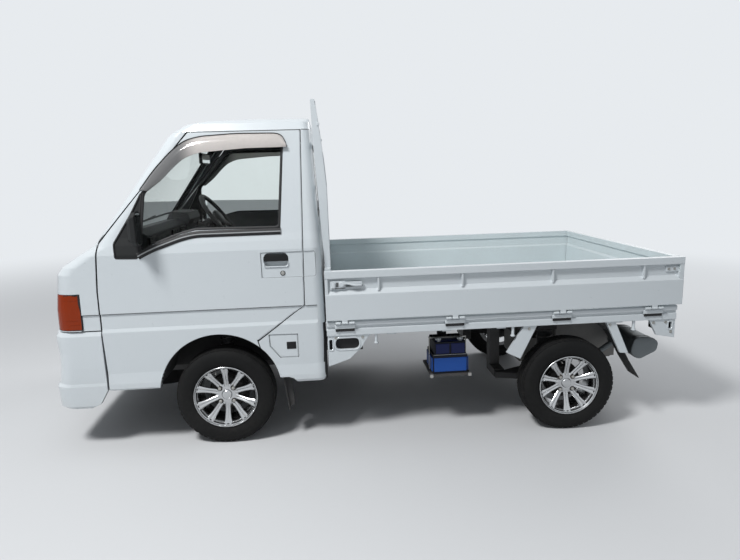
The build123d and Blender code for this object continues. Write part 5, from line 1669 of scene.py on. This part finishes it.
# Fuel door: a flange round its edge and a black push latch let into the lid
lid_line = flat_path(
    ((-252, 596), (-398, 594), (-398, 472), (-304.5, 472), (-255.5, 535)), 9, 60, 4, closed=True
)
lid_path = [Vector((x, 716.4, z)) for x, z in lid_line], [Vector((0, 1, 0))] * len(lid_line)
lid_flange = strip(lid_path, ((-1.2, -3.5), (-1.2, 0), (1.2, 0), (1.2, -3.5)), True)
piece(lid_flange, "fuel_door_flange", body_white, "fuel_door", "paint")
push_latch = blocks((-389, -340, 716, 718.6, 515, 554), (-383, -346, 718.6, 720, 536, 549))
piece(push_latch, "fuel_latch", wiper_black, "fuel_door", "black_plastic", edge=1.5)

# Cab interior: moulded dark grey dashboard and trims, and two seats of woven cloth over foam.
# The seats stand on bases covered in black vinyl.
dash_grey = finish(
    "Dashboard moulding", (0.02, 0.021, 0.023), 0.66, dust=0.02, shine=0.35, grain=1300, depth=0.12,
    rounded=0.012,
)
dress(dash_grey, "dashboard")
dress(wiper_black, "steering_column", "cab_controls")
grip_black = finish(
    "Steering wheel grip", (0.011, 0.011, 0.012), 0.5, dust=0.03, grain=1600, depth=0.12, rounded=0.005,
)
dress(grip_black, "steering_wheel")

# Dial faces, vents, radio and glovebox lid
dials = bmesh.new()
for y, radius in ((-330, 44), (-410, 26), (-250, 26)):
    spun(
        dials, ((radius, 0), (radius, -5), (radius - 4, -7), (radius - 4, -3), (0, -3)), (334, y, 1162), 32,
        axis="X"
    )
dial_black = finish("Dial face", (0.02, 0.02, 0.021), 0.3, dust=0.0, drift=0.02, grain=300, depth=0.0)
piece(dials, "dial_rings", dial_black, "chassis", "black_plastic", smooth=40)
marks = bmesh.new()
for y, radius, count in ((-330, 44, 25), (-410, 26, 9), (-250, 26, 9)):
    for i in range(count):
        turn = math.radians(-40 + 260 * i / (count - 1))
        long_mark = 7 if i % 4 == 0 else 4
        inner = radius - 6 - long_mark
        path = [
            (330.6, y + math.cos(turn) * r, 1162 + math.sin(turn) * r) for r in (inner, radius - 6)
        ]
        loop_on(marks, path, [Vector((-1, 0, 0))] * 2, ((-0.7, 0), (-0.7, 0.5), (0.7, 0.5), (0.7, 0)))
    needle = math.radians(215)
    path = [
        (330.2, y, 1162), (
            330.2, y + math.cos(needle) * (radius - 10), 1162 + math.sin(needle) * (radius - 10)
        )
    ]
    loop_on(marks, path, [Vector((-1, 0, 0))] * 2, ((-0.9, 0), (-0.9, 0.8), (0.9, 0.8), (0.9, 0)))
mark_white = finish("Dial marking", (0.5, 0.5, 0.49), 0.5, dust=0.0, drift=0.02, grain=300, depth=0.0)
piece(marks, "dial_marks", mark_white, "chassis", "grey_plastic")
vents = bmesh.new()
for y in (-560, -95, 95, 540):
    for k in range(5):
        cuboid(vents, 344, 352, y - 52, y + 52, 1062 + k * 11, 1066 + k * 11)
    for a, b, c, d in (
        (-56, -52, 1054, 1116), (52, 56, 1054, 1116), (-56, 56, 1110, 1116), (-56, 56, 1054, 1060)
    ):
        cuboid(vents, 342, 354, y + a, y + b, c, d)
cuboid(vents, 356, 372, -92, 92, 966, 1034)
for y in (-76, 76):
    spun(vents, ((12, 0), (11, -12), (0, -12)), (356, y, 1000), 18, axis="X")
cuboid(vents, 352, 357, -60, 60, 986, 1016)
piece(vents, "dash_vents_and_radio", wiper_black, "chassis", "black_plastic", edge=0.8)
glovebox = blocks((347, 353, 190, 520, 1024, 1110), (340, 348, 320, 390, 1090, 1102))
piece(glovebox, "glovebox_lid", dash_grey, "chassis", "grey_plastic", edge=4)
shelf = blocks((372, 386, -610, -500, 930, 950), (372, 386, -160, 610, 930, 950))
piece(shelf, "dash_shelf_edge", trim_grey, "chassis", "grey_plastic", edge=4)

# Horn pad, stalks and column cowl
hub = Vector((154, -330, 1145))
column_way = Vector((math.cos(math.radians(36)), 0, -math.sin(math.radians(36))))
horn = bmesh.new()
column_turn = column_way.to_track_quat("Y", "Z").to_matrix()
spun(horn, ((58, 14), (62, 0), (58, -10), (44, -17), (22, -20), (0, -20)), (0, 0, 0), 36)
for vert in horn.verts:
    vert.co = hub + column_turn @ vert.co
piece(horn, "horn_pad", grip_black, "steering_wheel", "black_plastic", smooth=60)
stalks = bmesh.new()
base = hub + column_way * 84
for sign in (-1, 1):
    rod(stalks, [base, base + Vector((0, sign * 60, 10)), base + Vector((-14, sign * 150, 16))], 6, 10)
    end = base + Vector((-14, sign * 150, 16))
    rod(stalks, [end, end + Vector((-5, sign * 34, 3))], 9, 10)
piece(stalks, "column_stalks", wiper_black, "chassis", "black_plastic", smooth=50)
cowl = bmesh.new()
spun(cowl, ((40, 56), (48, 64), (52, 120), (50, 200), (44, 226), (34, 230)), (0, 0, 0), 28)
for vert in cowl.verts:
    vert.co = hub + column_turn @ vert.co
piece(cowl, "column_cowl", dash_grey, "chassis", "grey_plastic", smooth=50)

# Seat cloth: dark grey and rough, with a coarse grain
# Metres: how far a sewn channel reaches to each side, how deep it pulls the cover in, how far cloth may swell
SEAM_REACH = 0.018
SEAM_DEPTH = 0.007
SWELL_LIMIT = 0.022
SWELL_FRAMES = 20
VOXEL = 0.008
SEATS = (("left", 340), ("right", -340))
seat_cloth = finish(
    "Woven cloth", (0.085, 0.088, 0.095), 0.95, dust=0.04, drift=0.2, grain=700, coarse=0.4, depth=0.3,
    wear=0.2, worn_colour=(0.13, 0.13, 0.135), reach=0.01,
)
seat_vinyl = finish(
    "Side vinyl", (0.03, 0.031, 0.033), 0.6, dust=0.04, grain=1400, depth=0.14, rounded=0.006
)


def pad_form(outline, y_low, y_high, cuts):
    """Closed block of a side outline, cut into slices across so that it can swell evenly."""
    form = bmesh.new()
    rings = []
    for y in steps_between(y_low, y_high, cuts):
        rings.append([form.verts.new((x, y, z)) for x, z in outline])
    form.faces.new(rings[0])
    form.faces.new(list(reversed(rings[-1])))
    for ring, following in zip(rings, rings[1:]):
        for i in range(len(outline)):
            form.faces.new((ring[i - 1], ring[i], following[i], following[i - 1]))
    bmesh.ops.recalc_face_normals(form, faces=form.faces)
    return form


def applied(made):
    """Turns an object's modifiers into its mesh, and returns the mesh."""
    depsgraph = bpy.context.evaluated_depsgraph_get()
    mesh = bpy.data.meshes.new_from_object(made.evaluated_get(depsgraph))
    made.modifiers.clear()
    made.data = mesh
    return mesh


def swollen(form, name, seams):
    """Upholstered pad: remeshed, blown up by a cloth pressure, and held to a limit."""
    mesh = bpy.data.meshes.new(name)
    form.to_mesh(mesh)
    form.free()
    mesh.transform(LEVEL)
    made = bpy.data.objects.new(name, mesh)
    bpy.context.scene.collection.objects.link(made)
    fine_grid = made.modifiers.new("voxels", "REMESH")
    fine_grid.mode = "VOXEL"
    fine_grid.voxel_size = VOXEL
    scene = bpy.context.scene
    start = applied(made)
    before = [v.co.copy() for v in start.vertices]
    cloth = made.modifiers.new("cloth", "CLOTH")
    cloth.settings.use_pressure = True
    cloth.settings.uniform_pressure_force = 4.0
    cloth.settings.effector_weights.gravity = 0.0
    cloth.settings.quality = 5
    cloth.point_cache.frame_start = 1
    cloth.point_cache.frame_end = SWELL_FRAMES
    for at in range(1, SWELL_FRAMES + 1):
        scene.frame_set(at)
    puffed = applied(made)
    for vert, old in zip(puffed.vertices, before):
        moved = vert.co - old
        if moved.length > SWELL_LIMIT:
            vert.co = old + moved.normalized() * SWELL_LIMIT
    scene.frame_set(1)
    for polygon in made.data.polygons:
        polygon.use_smooth = True
    made.data.materials.append(seat_cloth)
    rounder = made.modifiers.new("rounder", "SUBSURF")
    rounder.levels = 1
    for vert in applied(made).vertices:
        for seam_y in seams:
            off = abs(vert.co.y - seam_y * 0.001)
            if off < SEAM_REACH:
                vert.co -= vert.normal * SEAM_DEPTH * (1 - off / SEAM_REACH) ** 2
    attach(made, "chassis")
    return made


CUSHION_SIDE = (
    (310, 703), (315, 738), (292, 762), (200, 771), (-40, 764), (-230, 756), (-238, 746), (-238, 696),
    (310, 696),
)
BACK_SIDE = (
    (-276, 784), (-342, 1084), (-356, 1110), (-390, 1116), (-410, 1100), (-392, 900), (-376, 784),
    (-366, 772),
)
seat_pads = []
for seat_side, middle_y in SEATS:
    for pad_name, outline, half, seam in (
        ("cushion_", CUSHION_SIDE, 208, 128), ("backrest_", BACK_SIDE, 202, 122),
    ):
        pad = pad_form(outline, middle_y - half, middle_y + half, 12)
        seat_pads.append(swollen(pad, pad_name + seat_side, (middle_y - seam, middle_y + seam)))
risers = bmesh.new()
for _, middle_y in SEATS:
    cuboid(risers, -396, 326, middle_y - 226, middle_y + 226, 631, 689)
    cuboid(risers, -408, -392, middle_y - 60, middle_y + 60, 660, 1000)
riser_piece = piece(risers, "cushion_bases", seat_vinyl, "chassis", "black_plastic", edge=6)
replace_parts(riser_piece, "seats")
piping = bmesh.new()
pad_skin = skin_of_objects(seat_pads)
for _, middle_y in SEATS:
    for edge_y in (middle_y - 150, middle_y + 150):
        rod(
            piping, laid_on(pad_skin, [(x, edge_y, 780) for x in range(-200, 290, 24)], (0, 0, -1),
            lift=1)[0], 3, 8
        )
piece(piping, "cushion_piping", seat_vinyl, "chassis", "seat", smooth=60)

# Inner mirror, sun visors, rear wall trim, floor mat and lever gaiter
inner_mirror = bmesh.new()
cuboid(inner_mirror, 146, 164, -110, 110, 1498, 1560)
rod(inner_mirror, [(160, 0, 1540), (196, 0, 1596)], 6, 10)
piece(inner_mirror, "inner_mirror_case", case_black, "chassis", "black_plastic", edge=8, edge_steps=3)
inner_glass = blocks((144.4, 146.6, -104, 104, 1503, 1555))
piece(inner_glass, "inner_mirror_glass", silvered, "chassis", "glass", edge=1)
sun_visors = bmesh.new()
for y_low, y_high in ((-480, -70), (70, 480)):
    plate(
        sun_visors, ((178, 1592), (150, 1612), (-10, 1640), (-12, 1632), (146, 1602), (172, 1584)), y_low,
        y_high
    )
piece(sun_visors, "sun_visors", lining, "chassis", "grey_plastic", edge=3)
rear_trim = bmesh.new()
plate(rear_trim, ((-540, 640), (540, 640), (560, 1150), (-560, 1150)), -490, -484, across="X")
piece(rear_trim, "rear_wall_trim", trim_grey, "chassis", "grey_plastic", edge=3)
mat = bmesh.new()
for y_low, y_high in ((-600, -60), (60, 600)):
    cuboid(mat, 362, 744, y_low, y_high, 413, 419)
    for i in range(12):
        cuboid(mat, 372 + i * 30, 380 + i * 30, y_low + 12, y_high - 12, 418, 422)
piece(mat, "floor_mats", black_rubber, "chassis", "rubber")
gaiter = bmesh.new()
GAITER_SECTION = ((64, 631), (62, 644), (46, 656), (50, 664), (34, 676), (37, 684), (22, 698), (12, 716))
spun(gaiter, GAITER_SECTION, (296, 0, 0), 24, axis="Z")
piece(gaiter, "gear_gaiter", black_rubber, "chassis", "rubber", smooth=35)
